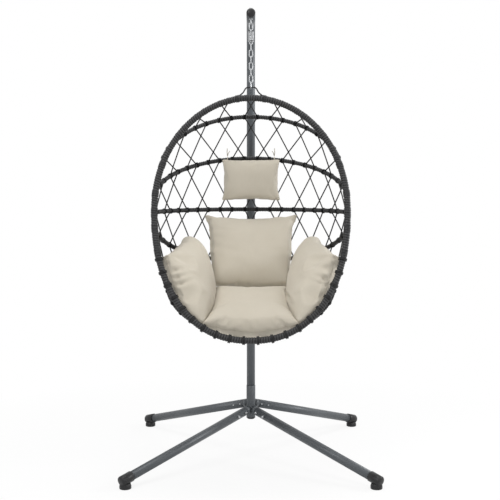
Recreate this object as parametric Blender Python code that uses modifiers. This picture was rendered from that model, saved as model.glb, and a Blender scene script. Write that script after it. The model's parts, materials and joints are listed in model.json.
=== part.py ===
"""Hanging egg chair on a four-legged stand: a wicker-wrapped basket with cushions hangs on a
spring, a short chain and two quick links from the forward arm of a bent steel pole.

Metres, +Z up. The basket opens to -Y. Everything is made round the pole's axis at X = Y = 0, and
is then moved back by POLE_Y, which puts the origin on the floor under the middle of the whole.
"""
import bpy
import bmesh
from math import acos, atan2, cos, degrees, pi, radians, sin, sqrt
from mathutils import Matrix, Vector

# ---- clearances ----
SEAT_GAP = 0.0003            # between touching pieces
DRILL_GAP = 0.0003           # round a bolt in its hole

# ---- stand ----
POLE_Y = 0.0767              # of the pole's axis, once the object's box is centred on the origin
TUBE_OD = 0.038              # pole and legs
TUBE_WALL = 0.0015
TUBE_STEPS = 14              # facets round a tube
POLE_FOOT_Z = 0.185          # lower end of the pole, on the hub's plug
POLE_SPLIT_Z = 1.000         # where the two halves of the pole meet
ARM_Z = 1.968                # axis of the forward arm
ARM_BEND_RADIUS = 0.200
ARM_REACH = 0.412            # arm's open end, forward of the pole's axis
COUPLER_LENGTH = 0.200       # inner tube that joins the halves of the pole
HUB_WALL = 0.0012
PLUG_INSERT = 0.012          # plug that closes the hub, up to the pole's lower end
HUB_TOP_Z = 0.320
HUB_ARM_LENGTH = 0.038       # welded arm, from the pole's axis
HUB_STUB_LENGTH = 0.110      # reduced stub that the leg slides over
FRONT_LEGS_Z = 0.214         # height where the front legs' axes meet the pole's
BACK_LEGS_Z = 0.241
PAD_X = 0.517                # centre of a foot pad
PAD_Y = 0.520
PAD_DIAMETER = 0.050
PAD_HEIGHT = 0.022
PAD_TOP_DIAMETER = 0.042
PAD_EDGE = 0.009             # height of the pad's straight edge
PAD_CHAMFER = 0.003
FOOT_WALL = 0.0028           # plastic round the end of the leg
FOOT_SLEEVE_LENGTH = 0.058
FOOT_NOSE = 0.005            # chamfer at the sleeve's closed end
FOOT_OVERHANG = 0.026        # closed end of the sleeve past the pad's centre
LEG_AXIS_OVER_PAD = 0.038    # height of the leg's axis over the pad's centre
BOLT_DIAMETER = 0.006
BOLT_HEAD_DIAMETER = 0.012
BOLT_HEAD_HEIGHT = 0.0045
BOLT_TIP = 0.005             # how far a bolt stands out beyond the tube
LEG_BOLT_PLACE = 0.052       # along the leg, from the pole's axis
POLE_BOLT_SPACING = 0.110
CAP_FLANGE = 0.003           # end cap's rim against the tube's end
CAP_DOME = 0.008
CAP_INSERT = 0.020

# ---- suspension ----
HANG_Y = -0.379              # plumb line of the basket
EYE_RADIUS = 0.010           # eye bolt's ring, at the middle of its wire
EYE_WIRE = 0.006
EYE_COLLAR_DIAMETER = 0.016
EYE_COLLAR_HEIGHT = 0.003
EYE_SHANK = 0.008
EYE_NUT_HEIGHT = 0.0065
EYE_NUT_DIAMETER = 0.015
QUICK_LINK_LENGTH = 0.034
QUICK_LINK_WIDTH = 0.018
QUICK_LINK_WIRE = 0.004
LINK_SLEEVE_DIAMETER = 0.007
LINK_SLEEVE_LENGTH = 0.012
SPRING_LENGTH = 0.038
SPRING_OD = 0.025
SPRING_WIRE = 0.0030
SPRING_CURLS = 10
CURL_POINTS = 8
PLUG_FLANGE = 0.0020
PLUG_NECK_LENGTH = 0.010
PLUG_EYE_RADIUS = 0.0056
PLUG_EYE_WIRE = 0.004
CHAIN_LINKS = 6
CHAIN_WIRE = 0.004
CHAIN_INNER_LENGTH = 0.027
CHAIN_WIDTH = 0.018

# ---- basket ----
BASKET_TILT = radians(17.0)  # the opening leans back at the top
RIM_HALF_WIDTH = 0.3935      # all to the middle of the rim's tube
RIM_RISE = 0.4665            # above the widest place
RIM_DROP = 0.5535            # below it
RIM_DROP_FULLNESS = 2.25     # 2 is an ellipse
RIM_DIAMETER = 0.025         # tube with its wicker
BASKET_DEPTH = 0.405
SEAM_DROP = 0.052            # where the halves of the rim meet, below the widest place
RIM_END = 0.012              # straight end of each half at a seam
SPIGOT_DIAMETER = 0.016
SPIGOT_LENGTH = 0.090
BOW_WIRE = 0.006             # hanger bow on top of the rim
BOW_RISE = 0.0475            # its top over the middle of the rim
BOW_FLAT = 0.017             # half of its flat top
BOW_FOOT = 0.046             # where it reaches the rim
BOW_RUN = 0.088              # end of its run along the rim
RIB_DIAMETER = 0.0165
# rib: angle of its back round the profile, and height of its ends over the widest place
RIBS = ((21.0, 0.1705), (50.0, 0.0485), (79.0, -0.032), (106.0, -0.099), (132.0, -0.200), (158.0, -0.330))
RIM_BOTTOM_ENDS = -0.400     # the same height, for the surface that meets the rim's bottom
CORD_DIAMETER = 0.003
CORD_PITCH = 0.0565          # between ties along a rib
CORD_END_ROOM = 0.050        # bare length at the end of a rib
CORD_MISS = 0.0029           # cords that would pass further apart bend towards their crossing

# ---- cushions: thickness in the middle and at the seam ----
SEAT_THICK = 0.125
ARM_THICK = 0.118
BACK_THICK = 0.135
SEAM_THICK = 0.034
# under a cushion's cage, from the ribs that carry it: its smoothed underside lies higher
SEAT_REST = -0.0040
BACK_REST = -0.0043
ARM_REST = -0.0028
SEAM_ROOM = 0.004            # between neighbouring cushions
SEAT_RANGE = (4.70, 6.74)    # back edge and front edge, counted in ribs
SEAT_SIDES = (64.5, 52.5)    # side seam's angle at the back and at the front
BACK_RANGE = (3.10, 4.73)
BACK_SIDES = (60.0, 63.0)
ARM_RANGE = (4.05, 6.74)
ARM_OUTER = 11.5
ARM_PEAK = 0.46              # how far its top rises in the middle
ARM_PEAK_SIDE = 0.30         # where, from -1 at the rim to 1 at the back cushion
PILLOW_WIDTH = 0.236
PILLOW_HEIGHT = 0.170
PILLOW_THICK = 0.088
PILLOW_BELOW_RIB = 0.0963095 # its middle, under the middle of the rib that its ties go round
PILLOW_ROOM = 0.006          # behind it, to the net
TIE_DIAMETER = 0.003
TIE_X = 0.098
TIE_DROP = 0.0030            # its foot, below the corners of the pillow's cage
TIE_TURN = [radians(a) for a in (40.0, 70.0, 100.0, 130.0)]    # round the rib's front and top

EGG = None                   # filled in by main(): middle of the basket's opening
PART = "hanging_egg_chair"


# ---- scene and materials ----

def clear_scene():
    for old in list(bpy.data.objects):
        bpy.data.objects.remove(old, do_unlink=True)


def collection(name):
    found = bpy.data.collections.get(name)
    if found is None:
        found = bpy.data.collections.new(name)
        bpy.context.scene.collection.children.link(found)
    return found


def material(name, colour, roughness, metallic=0.0):
    made = bpy.data.materials.new(name)
    made.use_nodes = True
    shader = made.node_tree.nodes["Principled BSDF"]
    shader.inputs["Base Color"].default_value = (*colour, 1.0)
    shader.inputs["Roughness"].default_value = roughness
    shader.inputs["Metallic"].default_value = metallic
    made.diffuse_color = (*colour, 1.0)
    return made


FINISHES = {
    "powder_coat": ((0.075, 0.085, 0.095), 0.45, 0.3),
    "black_plastic": ((0.018, 0.018, 0.019), 0.5, 0.0),
    "zinc": ((0.50, 0.51, 0.52), 0.35, 0.9),
    "wicker": ((0.020, 0.020, 0.021), 0.55, 0.0),
    "net_cord": ((0.016, 0.016, 0.017), 0.6, 0.0),
    "cushion_cloth": ((0.62, 0.56, 0.46), 0.9, 0.0),
}


def paint(obj, finish):
    """Give an object a material of its own in one of the finishes."""
    obj.data.materials.clear()
    obj.data.materials.append(material(f"{obj.name}_{finish}", *FINISHES[finish]))
    return obj


def place(name, data, home=PART):
    obj = bpy.data.objects.new(name, data)
    collection(home).objects.link(obj)
    if home == "cutters":
        obj.hide_render = True
        obj.display_type = "WIRE"
    return obj


# ---- shapes ----

def tube_curve(name, routes, radius, sides=2, cyclic=False, caps=True, home=PART):
    """One curve object: a round bar along each route of points."""
    curve = bpy.data.curves.new(name, "CURVE")
    curve.dimensions = "3D"
    curve.bevel_depth = radius
    curve.bevel_resolution = sides
    curve.use_fill_caps = caps
    for route in routes:
        spline = curve.splines.new("POLY")
        spline.points.add(len(route) - 1)
        for point, where in zip(spline.points, route):
            point.co = (*where, 1.0)
        spline.use_cyclic_u = cyclic
    return place(name, curve, home)


def as_mesh(obj):
    """The curve or modified object as a plain mesh with its caps welded."""
    bpy.context.view_layer.update()
    shape = obj.evaluated_get(bpy.context.evaluated_depsgraph_get())
    mesh = bpy.data.meshes.new_from_object(shape)
    name, home = obj.name, obj.users_collection[0].name
    where = obj.matrix_world.copy()
    bpy.data.objects.remove(obj, do_unlink=True)
    made = place(name, mesh, home)
    made.name = name
    made.matrix_world = where
    work = bmesh.new()
    work.from_mesh(mesh)
    bmesh.ops.remove_doubles(work, verts=work.verts, dist=1e-6)
    bmesh.ops.recalc_face_normals(work, faces=work.faces)
    work.to_mesh(mesh)
    work.free()
    return made


def hollow_tube(name, route, outer, wall, sides=6):
    """A tube with open ends: a swept skin, thickened inwards."""
    skin = as_mesh(tube_curve(name, [route], outer / 2, sides, caps=False))
    thick = skin.modifiers.new("wall", "SOLIDIFY")
    thick.thickness = wall
    thick.offset = -1.0
    thick.use_even_offset = True
    return skin


def aim(obj, start, along):
    """Turn an object made about Z to run along a direction from a point."""
    turn = Vector(along).to_track_quat("Z", "Y").to_matrix().to_4x4()
    obj.matrix_world = Matrix.Translation(start) @ turn
    return obj


def turned(name, profile, steps=16, home=PART):
    """A closed solid of revolution about Z: radius and height from the top to the bottom."""
    mesh = bpy.data.meshes.new(name)
    mesh.from_pydata([(r, 0.0, z) for r, z in profile], [(i, i + 1) for i in range(len(profile) - 1)], [])
    obj = place(name, mesh, home)
    screw = obj.modifiers.new("turn", "SCREW")
    screw.steps = steps
    screw.render_steps = steps
    screw.use_merge_vertices = True
    screw.merge_threshold = 0.00001
    screw.use_smooth_shade = False
    return obj


def bar_between(name, start, end, radius, steps=12, home="cutters"):
    """A plain round bar from start to end."""
    start, end = Vector(start), Vector(end)
    mesh = bpy.data.meshes.new(name)
    work = bmesh.new()
    bmesh.ops.create_cone(work, cap_ends=True, segments=steps, radius1=radius, radius2=radius,
                          depth=(end - start).length)
    work.to_mesh(mesh)
    work.free()
    return aim(place(name, mesh, home), (start + end) / 2, end - start)


def clear_of(radius, steps):
    """Radius of a faceted bore whose flats stay outside the given radius."""
    return radius / cos(pi / steps)


def boolean(obj, tool, action):
    step = obj.modifiers.new(f"{action.lower()} {tool.name}", "BOOLEAN")
    step.operation = action
    step.object = tool
    return obj


def cut(obj, *tools):
    for tool in tools:
        boolean(obj, tool, "DIFFERENCE")
    return obj


def weld(obj, *tools):
    for tool in tools:
        boolean(obj, tool, "UNION")
    return obj


def bolt(name, start, end, shank, head, head_height, finish="zinc", sides=6):
    """A bolt whose axis runs from under its head to its tip."""
    length = (end - start).length
    profile = [(0.0, length), (shank / 2, length), (shank / 2, 0.0), (head / 2, 0.0),
               (head / 2, -head_height), (0.0, -head_height)]
    return paint(aim(turned(name, profile, sides), start, end - start), finish)


def arc(centre, radius, first, last, steps, plane):
    """Points of an arc; plane holds the two unit directions that it runs between."""
    across, up = plane
    angles = [first + (last - first) * i / steps for i in range(steps + 1)]
    return [centre + across * (radius * cos(a)) + up * (radius * sin(a)) for a in angles]


def oval(centre, length, width, wire, across, steps=6):
    """Middle line of a chain link that stands upright: two half rounds and straight sides."""
    radius = (width - wire) / 2
    straight = length / 2 - wire / 2 - radius
    up = Vector((0, 0, 1))
    top = arc(centre + up * straight, radius, 0.0, pi, steps, (across, up))
    bottom = arc(centre - up * straight, radius, pi, 2 * pi, steps, (across, up))
    return top + bottom


def resample(points, count):
    """Points spaced evenly along a line, ends kept."""
    lengths = [0.0]
    for a, b in zip(points, points[1:]):
        lengths.append(lengths[-1] + (b - a).length)
    made = []
    j = 0
    for i in range(count):
        goal = lengths[-1] * i / (count - 1)
        while j < len(points) - 2 and lengths[j + 1] < goal:
            j += 1
        share = (goal - lengths[j]) / (lengths[j + 1] - lengths[j])
        made.append(points[j].lerp(points[j + 1], share))
    return made


# ---- basket geometry: x across, v up the opening, w back from it ----

def basket_point(x, v, w):
    up = Vector((0, sin(BASKET_TILT), cos(BASKET_TILT)))
    back = Vector((0, cos(BASKET_TILT), -sin(BASKET_TILT)))
    return EGG + Vector((x, 0, 0)) + up * v + back * w


def rim_width(v):
    """Half width of the opening at a height over its widest place."""
    if v >= 0:
        return RIM_HALF_WIDTH * sqrt(max(0.0, 1 - (v / RIM_RISE) ** 2))
    n = RIM_DROP_FULLNESS
    return RIM_HALF_WIDTH * max(0.0, 1 - (-v / RIM_DROP) ** n) ** (1 / n)


def rim_at(angle, grow=0.0):
    """Point of the rim's middle line at an angle from +X; grow moves it outwards."""
    n = 2.0 if sin(angle) >= 0 else RIM_DROP_FULLNESS
    rise = RIM_RISE if sin(angle) >= 0 else RIM_DROP
    x = RIM_HALF_WIDTH * abs(cos(angle)) ** (2 / n) * (1 if cos(angle) >= 0 else -1)
    v = rise * abs(sin(angle)) ** (2 / n) * (1 if sin(angle) >= 0 else -1)
    if grow:
        out = Vector((abs(x / RIM_HALF_WIDTH) ** (n - 1) / RIM_HALF_WIDTH * (1 if x >= 0 else -1),
                      abs(v / rise) ** (n - 1) / rise * (1 if v >= 0 else -1))).normalized()
        x, v = x + out.x * grow, v + out.y * grow
    return basket_point(x, v, 0.0)


def seam_angle():
    return -((SEAM_DROP / RIM_DROP) ** (RIM_DROP_FULLNESS / 2))


def profile_place(degrees):
    """Where the basket's middle section is, at an angle round from the top of the rim."""
    a = radians(degrees)
    rise = RIM_RISE if cos(a) >= 0 else RIM_DROP
    return rise * cos(a), BASKET_DEPTH * sin(a)


def stations():
    """Angle and end height of each line round the basket: rim's top, ribs, rim's bottom."""
    return ((0.0, RIBS[0][1] + 0.1), *RIBS, (180.0, RIM_BOTTOM_ENDS))


def shell_point(row, degrees, inwards=0.0):
    """Point of the basket's surface, straight between ribs: row counts ribs, degrees go round
    from +X to -X."""
    def on_line(line, turn):
        angle, ends = line
        v, w = profile_place(angle)
        return basket_point(rim_width(ends) * cos(turn), ends + (v - ends) * sin(turn), w * sin(turn))

    def raw(r, deg):
        lines = stations()
        i = min(int(r), len(lines) - 2)
        return on_line(lines[i], radians(deg)).lerp(on_line(lines[i + 1], radians(deg)), r - i)

    here = raw(row, degrees)
    if not inwards:
        return here
    step = 0.02
    along = raw(row + step, degrees) - raw(row - step, degrees)
    across = raw(row, degrees + 1.0) - raw(row, degrees - 1.0)
    normal = across.cross(along).normalized()
    if normal.dot(basket_point(0, 0, 0) - here) < 0:
        normal = -normal
    return here + normal * inwards


def rib_line(number, count=61, spare=0.0):
    """Middle line of a rib from +X to -X; spare runs it on past its ends."""
    return [shell_point(number, spare + (180 - 2 * spare) * i / (count - 1)) for i in range(count)]


# ---- stand ----

def inside_tube():
    """Radius of what slides into a tube and stays clear of its facets."""
    return (TUBE_OD / 2 - TUBE_WALL) * cos(pi / TUBE_STEPS) - SEAT_GAP


def hub_radius():
    return TUBE_OD / 2 + SEAT_GAP + HUB_WALL


def leg_line(side_x, side_y):
    """The leg's axis: where its pair meets, and the point over the pad's centre."""
    meet = Vector((0, 0, FRONT_LEGS_Z if side_y < 0 else BACK_LEGS_Z))
    over_pad = Vector((side_x * PAD_X, side_y * PAD_Y, LEG_AXIS_OVER_PAD))
    return meet, over_pad, (over_pad - meet).normalized()


CORNERS = {"front_left": (-1, -1), "front_right": (1, -1), "back_left": (-1, 1), "back_right": (1, 1)}


def bolt_line(side_x, side_y, reach):
    """The cross bolt through leg and stub, level and square to the leg, its head outside."""
    meet, _, along = leg_line(side_x, side_y)
    across = along.cross(Vector((0, 0, 1))).normalized()
    if across.y * side_y < 0:
        across = -across
    middle = meet + along * LEG_BOLT_PLACE
    return middle + across * reach, middle - across * reach


def leg_drill(name, side_x, side_y):
    room = clear_of(BOLT_DIAMETER / 2 + DRILL_GAP, 6)
    return bar_between(name, *bolt_line(side_x, side_y, TUBE_OD), room, 6)


def make_hub():
    outer = hub_radius()
    bottom = POLE_FOOT_Z - PLUG_INSERT
    hub = turned("hub", [(0.0, HUB_TOP_Z), (outer, HUB_TOP_Z), (outer, bottom), (0.0, bottom)], 16)
    room = clear_of(TUBE_OD / 2 + SEAT_GAP, 16)
    bore = turned("hub_bore", [(0.0, HUB_TOP_Z + TUBE_OD), (room, HUB_TOP_Z + TUBE_OD),
                               (room, bottom - TUBE_OD), (0.0, bottom - TUBE_OD)], 16, "cutters")
    stub_radius = inside_tube()
    tools, bores, drills = [], [], []
    for corner, (sx, sy) in CORNERS.items():
        meet, _, along = leg_line(sx, sy)
        shoulder = meet + along * HUB_ARM_LENGTH
        tip = shoulder + along * HUB_STUB_LENGTH
        tools.append(bar_between(f"hub_arm_{corner}", meet + along * HUB_WALL, shoulder, TUBE_OD / 2, 14))
        tools.append(bar_between(f"hub_stub_{corner}", shoulder - along * HUB_WALL, tip, stub_radius, 14))
        bores.append(bar_between(f"hub_stub_bore_{corner}", shoulder - along * HUB_WALL,
                                 tip + along * TUBE_OD, stub_radius - TUBE_WALL, 12))
        drills.append(leg_drill(f"hub_drill_{corner}", sx, sy))
    weld(hub, *tools)
    cut(hub, *bores, *drills, bore)
    paint(hub, "powder_coat")


def make_hub_plug():
    outer = hub_radius()
    top = POLE_FOOT_Z - SEAT_GAP
    rim = POLE_FOOT_Z - PLUG_INSERT - SEAT_GAP
    plug = turned("hub_plug", [(0.0, top), (TUBE_OD / 2 - 0.001, top), (TUBE_OD / 2, top - 0.001),
                               (TUBE_OD / 2, rim), (outer, rim), (outer, rim - 0.003),
                               (outer - 0.006, rim - 0.008), (0.0, rim - 0.009)], 14)
    paint(plug, "black_plastic")


def make_legs():
    for corner, (sx, sy) in CORNERS.items():
        meet, over_pad, along = leg_line(sx, sy)
        start = meet + along * (HUB_ARM_LENGTH + SEAT_GAP)
        leg = hollow_tube(f"leg_{corner}", [start, over_pad + along * (FOOT_OVERHANG - FOOT_WALL - SEAT_GAP)],
                          TUBE_OD, TUBE_WALL, 5)
        cut(leg, leg_drill(f"leg_drill_{corner}", sx, sy))
        paint(leg, "powder_coat")


def make_feet():
    """Plastic cap over the end of each leg, with a round pad under it."""
    outer = TUBE_OD / 2 + SEAT_GAP + FOOT_WALL
    pad_top = LEG_AXIS_OVER_PAD + FOOT_WALL
    for corner, (sx, sy) in CORNERS.items():
        _, over_pad, along = leg_line(sx, sy)
        tip = over_pad + along * FOOT_OVERHANG
        mouth = tip - along * FOOT_SLEEVE_LENGTH
        foot = turned(f"foot_{corner}", [(0.0, pad_top), (PAD_TOP_DIAMETER / 2, pad_top),
                                         (PAD_TOP_DIAMETER / 2, PAD_HEIGHT), (PAD_DIAMETER / 2, PAD_EDGE),
                                         (PAD_DIAMETER / 2, PAD_CHAMFER),
                                         (PAD_DIAMETER / 2 - PAD_CHAMFER, 0.0), (0.0, 0.0)], 12)
        foot.location = (over_pad.x, over_pad.y, 0.0)
        length = FOOT_SLEEVE_LENGTH
        sleeve = turned(f"foot_sleeve_{corner}", [(0.0, length), (outer - FOOT_NOSE, length),
                                                  (outer, length - FOOT_NOSE), (outer, 0.0), (0.0, 0.0)],
                        12, "cutters")
        aim(sleeve, mouth, along)
        socket = bar_between(f"foot_socket_{corner}", mouth - along * TUBE_OD, tip - along * FOOT_WALL,
                             clear_of(TUBE_OD / 2 + SEAT_GAP, 12), 12)
        weld(foot, sleeve)
        cut(foot, socket)
        paint(foot, "black_plastic")


def make_leg_bolts():
    for corner, (sx, sy) in CORNERS.items():
        outside, inside = bolt_line(sx, sy, TUBE_OD / 2 + SEAT_GAP)
        tip = inside + (inside - outside).normalized() * BOLT_TIP
        bolt(f"leg_bolt_{corner}", outside, tip, BOLT_DIAMETER, BOLT_HEAD_DIAMETER, BOLT_HEAD_HEIGHT)


def pole_drills(name):
    """Cutters for the bolts that hold the pole's halves on the coupler, through the back."""
    for i, z in enumerate((POLE_SPLIT_Z - POLE_BOLT_SPACING / 2, POLE_SPLIT_Z + POLE_BOLT_SPACING / 2)):
        yield bar_between(f"{name}_{i}", (0, -TUBE_OD, z), (0, TUBE_OD, z),
                          clear_of(BOLT_DIAMETER / 2 + DRILL_GAP, 6), 6)


def make_pole():
    low_end = Vector((0, 0, POLE_SPLIT_Z - SEAT_GAP / 2))
    lower = hollow_tube("pole_lower", [Vector((0, 0, POLE_FOOT_Z)), low_end], TUBE_OD, TUBE_WALL, 5)
    cut(lower, *pole_drills("pole_lower_drill"))
    paint(lower, "powder_coat")
    bend = Vector((0, -ARM_BEND_RADIUS, ARM_Z - ARM_BEND_RADIUS))
    route = [Vector((0, 0, POLE_SPLIT_Z + SEAT_GAP / 2))]
    route += arc(bend, ARM_BEND_RADIUS, 0.0, pi / 2, 8, (Vector((0, 1, 0)), Vector((0, 0, 1))))
    route.append(Vector((0, -ARM_REACH, ARM_Z)))
    upper = hollow_tube("pole_upper", route, TUBE_OD, TUBE_WALL, 5)
    cut(upper, *pole_drills("pole_upper_drill"))
    shank = clear_of(EYE_SHANK / 2 + DRILL_GAP, 12)
    cut(upper, bar_between("eye_drill", (0, HANG_Y, ARM_Z - 0.04), (0, HANG_Y, ARM_Z + 0.04), shank, 12))
    paint(upper, "powder_coat")
    half = COUPLER_LENGTH / 2
    ends = [Vector((0, 0, POLE_SPLIT_Z - half)), Vector((0, 0, POLE_SPLIT_Z + half))]
    coupler = hollow_tube("pole_coupler", ends,
                          TUBE_OD - 2 * TUBE_WALL - 2 * SEAT_GAP, TUBE_WALL, 5)
    cut(coupler, *pole_drills("coupler_drill"))
    paint(coupler, "powder_coat")
    reach = TUBE_OD / 2 + SEAT_GAP
    for place_name, side in (("lower", -1), ("upper", 1)):
        z = POLE_SPLIT_Z + side * POLE_BOLT_SPACING / 2
        bolt(f"pole_bolt_{place_name}", Vector((0, reach, z)), Vector((0, -reach - BOLT_TIP, z)),
             BOLT_DIAMETER, BOLT_HEAD_DIAMETER, BOLT_HEAD_HEIGHT)


def make_end_cap():
    """Domed plug in the arm's open end, turned about Z and laid along -Y."""
    outer = TUBE_OD / 2
    inner = inside_tube()
    dome = [(outer * cos(a), CAP_FLANGE + CAP_DOME * sin(a)) for a in (pi / 2, pi / 3, pi / 6, 0.0)]
    dome[0] = (0.0, CAP_FLANGE + CAP_DOME)
    stem = [(outer, 0.0), (inner, 0.0), (inner, -CAP_INSERT), (0.0, -CAP_INSERT)]
    cap = turned("arm_end_cap", dome + stem, 16)
    cap.rotation_euler = (pi / 2, 0, 0)
    cap.location = (0, -ARM_REACH - SEAT_GAP, ARM_Z)
    paint(cap, "black_plastic")


# ---- suspension ----

def hang_levels():
    """Heights of the hanging pieces, each seated in the one above it."""
    level = {}
    under_arm = ARM_Z - TUBE_OD / 2
    level["eye"] = under_arm - SEAT_GAP - EYE_COLLAR_HEIGHT - EYE_RADIUS
    bottom = level["eye"] - EYE_RADIUS
    top = bottom + EYE_WIRE / 2 + QUICK_LINK_WIRE / 2 + SEAT_GAP
    level["upper_link"] = top - (QUICK_LINK_LENGTH - QUICK_LINK_WIRE) / 2
    bottom = level["upper_link"] - (QUICK_LINK_LENGTH - QUICK_LINK_WIRE) / 2
    top = bottom + QUICK_LINK_WIRE / 2 + PLUG_EYE_WIRE / 2 + SEAT_GAP
    level["top_plug_eye"] = top - PLUG_EYE_RADIUS
    level["spring_top"] = level["top_plug_eye"] - PLUG_EYE_RADIUS - PLUG_FLANGE
    level["spring_bottom"] = level["spring_top"] - SPRING_LENGTH
    level["bottom_plug_eye"] = level["spring_bottom"] - PLUG_FLANGE - PLUG_EYE_RADIUS
    bottom = level["bottom_plug_eye"] - PLUG_EYE_RADIUS
    top = bottom + PLUG_EYE_WIRE / 2 + CHAIN_WIRE / 2 + SEAT_GAP
    level["chain"] = top - (CHAIN_INNER_LENGTH + CHAIN_WIRE) / 2
    bottom = level["chain"] - (CHAIN_LINKS - 1) * chain_pitch() - (CHAIN_INNER_LENGTH + CHAIN_WIRE) / 2
    top = bottom + CHAIN_WIRE / 2 + QUICK_LINK_WIRE / 2 + SEAT_GAP
    level["lower_link"] = top - (QUICK_LINK_LENGTH - QUICK_LINK_WIRE) / 2
    bottom = level["lower_link"] - (QUICK_LINK_LENGTH - QUICK_LINK_WIRE) / 2
    level["bow"] = bottom + QUICK_LINK_WIRE / 2 + BOW_WIRE / 2 + SEAT_GAP
    return level


def chain_pitch():
    return CHAIN_INNER_LENGTH - SEAT_GAP


def make_eye_bolt(level):
    centre = Vector((0, HANG_Y, level["eye"]))
    ring = arc(centre, EYE_RADIUS, 0.0, 2 * pi, 14, (Vector((0, 1, 0)), Vector((0, 0, 1))))[:-1]
    eye = as_mesh(tube_curve("eye_bolt", [ring], EYE_WIRE / 2, 1, cyclic=True))
    collar_top = ARM_Z - TUBE_OD / 2 - SEAT_GAP
    stem = turned("eye_stem", [(0.0, ARM_Z + TUBE_OD / 2 + EYE_NUT_HEIGHT + 0.004),
                               (EYE_SHANK / 2, ARM_Z + TUBE_OD / 2 + EYE_NUT_HEIGHT + 0.004),
                               (EYE_SHANK / 2, collar_top), (EYE_COLLAR_DIAMETER / 2, collar_top),
                               (EYE_COLLAR_DIAMETER / 2, collar_top - EYE_COLLAR_HEIGHT),
                               (0.0, collar_top - EYE_COLLAR_HEIGHT)], 12, "cutters")
    stem.location = (0, HANG_Y, 0)
    weld(eye, stem)
    paint(eye, "zinc")
    seat = ARM_Z + TUBE_OD / 2 + SEAT_GAP
    nut = turned("eye_nut", [(0.0, seat + EYE_NUT_HEIGHT), (EYE_NUT_DIAMETER / 2, seat + EYE_NUT_HEIGHT),
                             (EYE_NUT_DIAMETER / 2, seat), (0.0, seat)], 6)
    nut.location = (0, HANG_Y, 0)
    room = clear_of(EYE_SHANK / 2 + DRILL_GAP, 12)
    cut(nut, bar_between("nut_drill", (0, HANG_Y, ARM_Z), (0, HANG_Y, ARM_Z + 0.06), room, 12))
    paint(nut, "zinc")


def make_quick_link(name, z, across):
    """Oval wire link, closed by a threaded sleeve round one of its long sides."""
    centre = Vector((0, HANG_Y, z))
    link = tube_curve(name, [oval(centre, QUICK_LINK_LENGTH, QUICK_LINK_WIDTH, QUICK_LINK_WIRE, across, 5)],
                      QUICK_LINK_WIRE / 2, 1, cyclic=True)
    paint(link, "zinc")
    side = centre + across * ((QUICK_LINK_WIDTH - QUICK_LINK_WIRE) / 2)
    sleeve = turned(f"{name}_sleeve", [(QUICK_LINK_WIRE / 2 + SEAT_GAP, LINK_SLEEVE_LENGTH / 2),
                                       (LINK_SLEEVE_DIAMETER / 2, LINK_SLEEVE_LENGTH / 2),
                                       (LINK_SLEEVE_DIAMETER / 2, -LINK_SLEEVE_LENGTH / 2),
                                       (QUICK_LINK_WIRE / 2 + SEAT_GAP, -LINK_SLEEVE_LENGTH / 2),
                                       (QUICK_LINK_WIRE / 2 + SEAT_GAP, LINK_SLEEVE_LENGTH / 2)], 12)
    sleeve.location = side
    paint(sleeve, "zinc")


def make_spring_plug(name, eye_z, spring_end, up, across):
    """Flange and neck that hold the spring's end, with an eye outside it."""
    neck = (SPRING_OD - SPRING_WIRE) / 2 * cos(pi / CURL_POINTS) - SPRING_WIRE / 2 - SEAT_GAP
    outer = SPRING_OD / 2
    profile = [(0.0, PLUG_FLANGE), (outer - 0.0008, PLUG_FLANGE), (outer, PLUG_FLANGE - 0.0008), (outer, 0.0),
               (neck, 0.0), (neck, -PLUG_NECK_LENGTH), (0.0, -PLUG_NECK_LENGTH)]
    plug = turned(name, profile, 14)
    if not up:
        plug.rotation_euler = (pi, 0, 0)
    plug.location = (0, HANG_Y, spring_end + (SEAT_GAP if up else -SEAT_GAP))
    centre = Vector((0, HANG_Y, eye_z))
    ring = arc(centre, PLUG_EYE_RADIUS, 0.0, 2 * pi, 10, (across, Vector((0, 0, 1))))[:-1]
    eye = as_mesh(tube_curve(f"{name}_ring", [ring], PLUG_EYE_WIRE / 2, 1, cyclic=True, home="cutters"))
    weld(plug, eye)
    paint(plug, "zinc")


def make_spring(level):
    """Close-wound extension spring round the plugs' necks."""
    radius = (SPRING_OD - SPRING_WIRE) / 2
    low = level["spring_bottom"] + SPRING_WIRE / 2 + SEAT_GAP
    high = level["spring_top"] - SPRING_WIRE / 2 - SEAT_GAP
    count = SPRING_CURLS * CURL_POINTS
    turn = 2 * pi / CURL_POINTS
    route = [Vector((radius * cos(turn * i), HANG_Y + radius * sin(turn * i), low + (high - low) * i / count))
             for i in range(count + 1)]
    least = min((a - b).length for i, a in enumerate(route) for b in route[i + 4:i + 13])
    print("hanger_spring: least gap to itself", round((least - SPRING_WIRE) * 1000, 2), "mm")
    paint(tube_curve("hanger_spring", [route], SPRING_WIRE / 2, 1), "zinc")


def make_chain(level):
    for i in range(CHAIN_LINKS):
        across = Vector((1, 0, 0)) if i % 2 else Vector((0, 1, 0))
        centre = Vector((0, HANG_Y, level["chain"] - i * chain_pitch()))
        line = oval(centre, CHAIN_INNER_LENGTH + 2 * CHAIN_WIRE, CHAIN_WIDTH, CHAIN_WIRE, across, 4)
        paint(tube_curve(f"chain_link_{i + 1}", [line], CHAIN_WIRE / 2, 1, cyclic=True), "zinc")


# ---- basket frame ----

RIM_POINTS = 25


def rim_halves():
    """Middle lines of the rim's upper and lower halves, from +X to -X."""
    low = seam_angle()
    fine = 240
    upper = [rim_at(low + (pi - 2 * low) * i / fine) for i in range(fine + 1)]
    lower = [rim_at(low - (pi + 2 * low) * i / fine) for i in range(fine + 1)]
    return resample(upper, RIM_POINTS), resample(lower, RIM_POINTS)


def seam_places():
    """Each side's seam: its point, and the direction up along the rim."""
    upper, lower = rim_halves()
    return [(upper[i], (upper[j] - lower[j]).normalized()) for i, j in ((0, 1), (-1, -2))]


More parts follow.
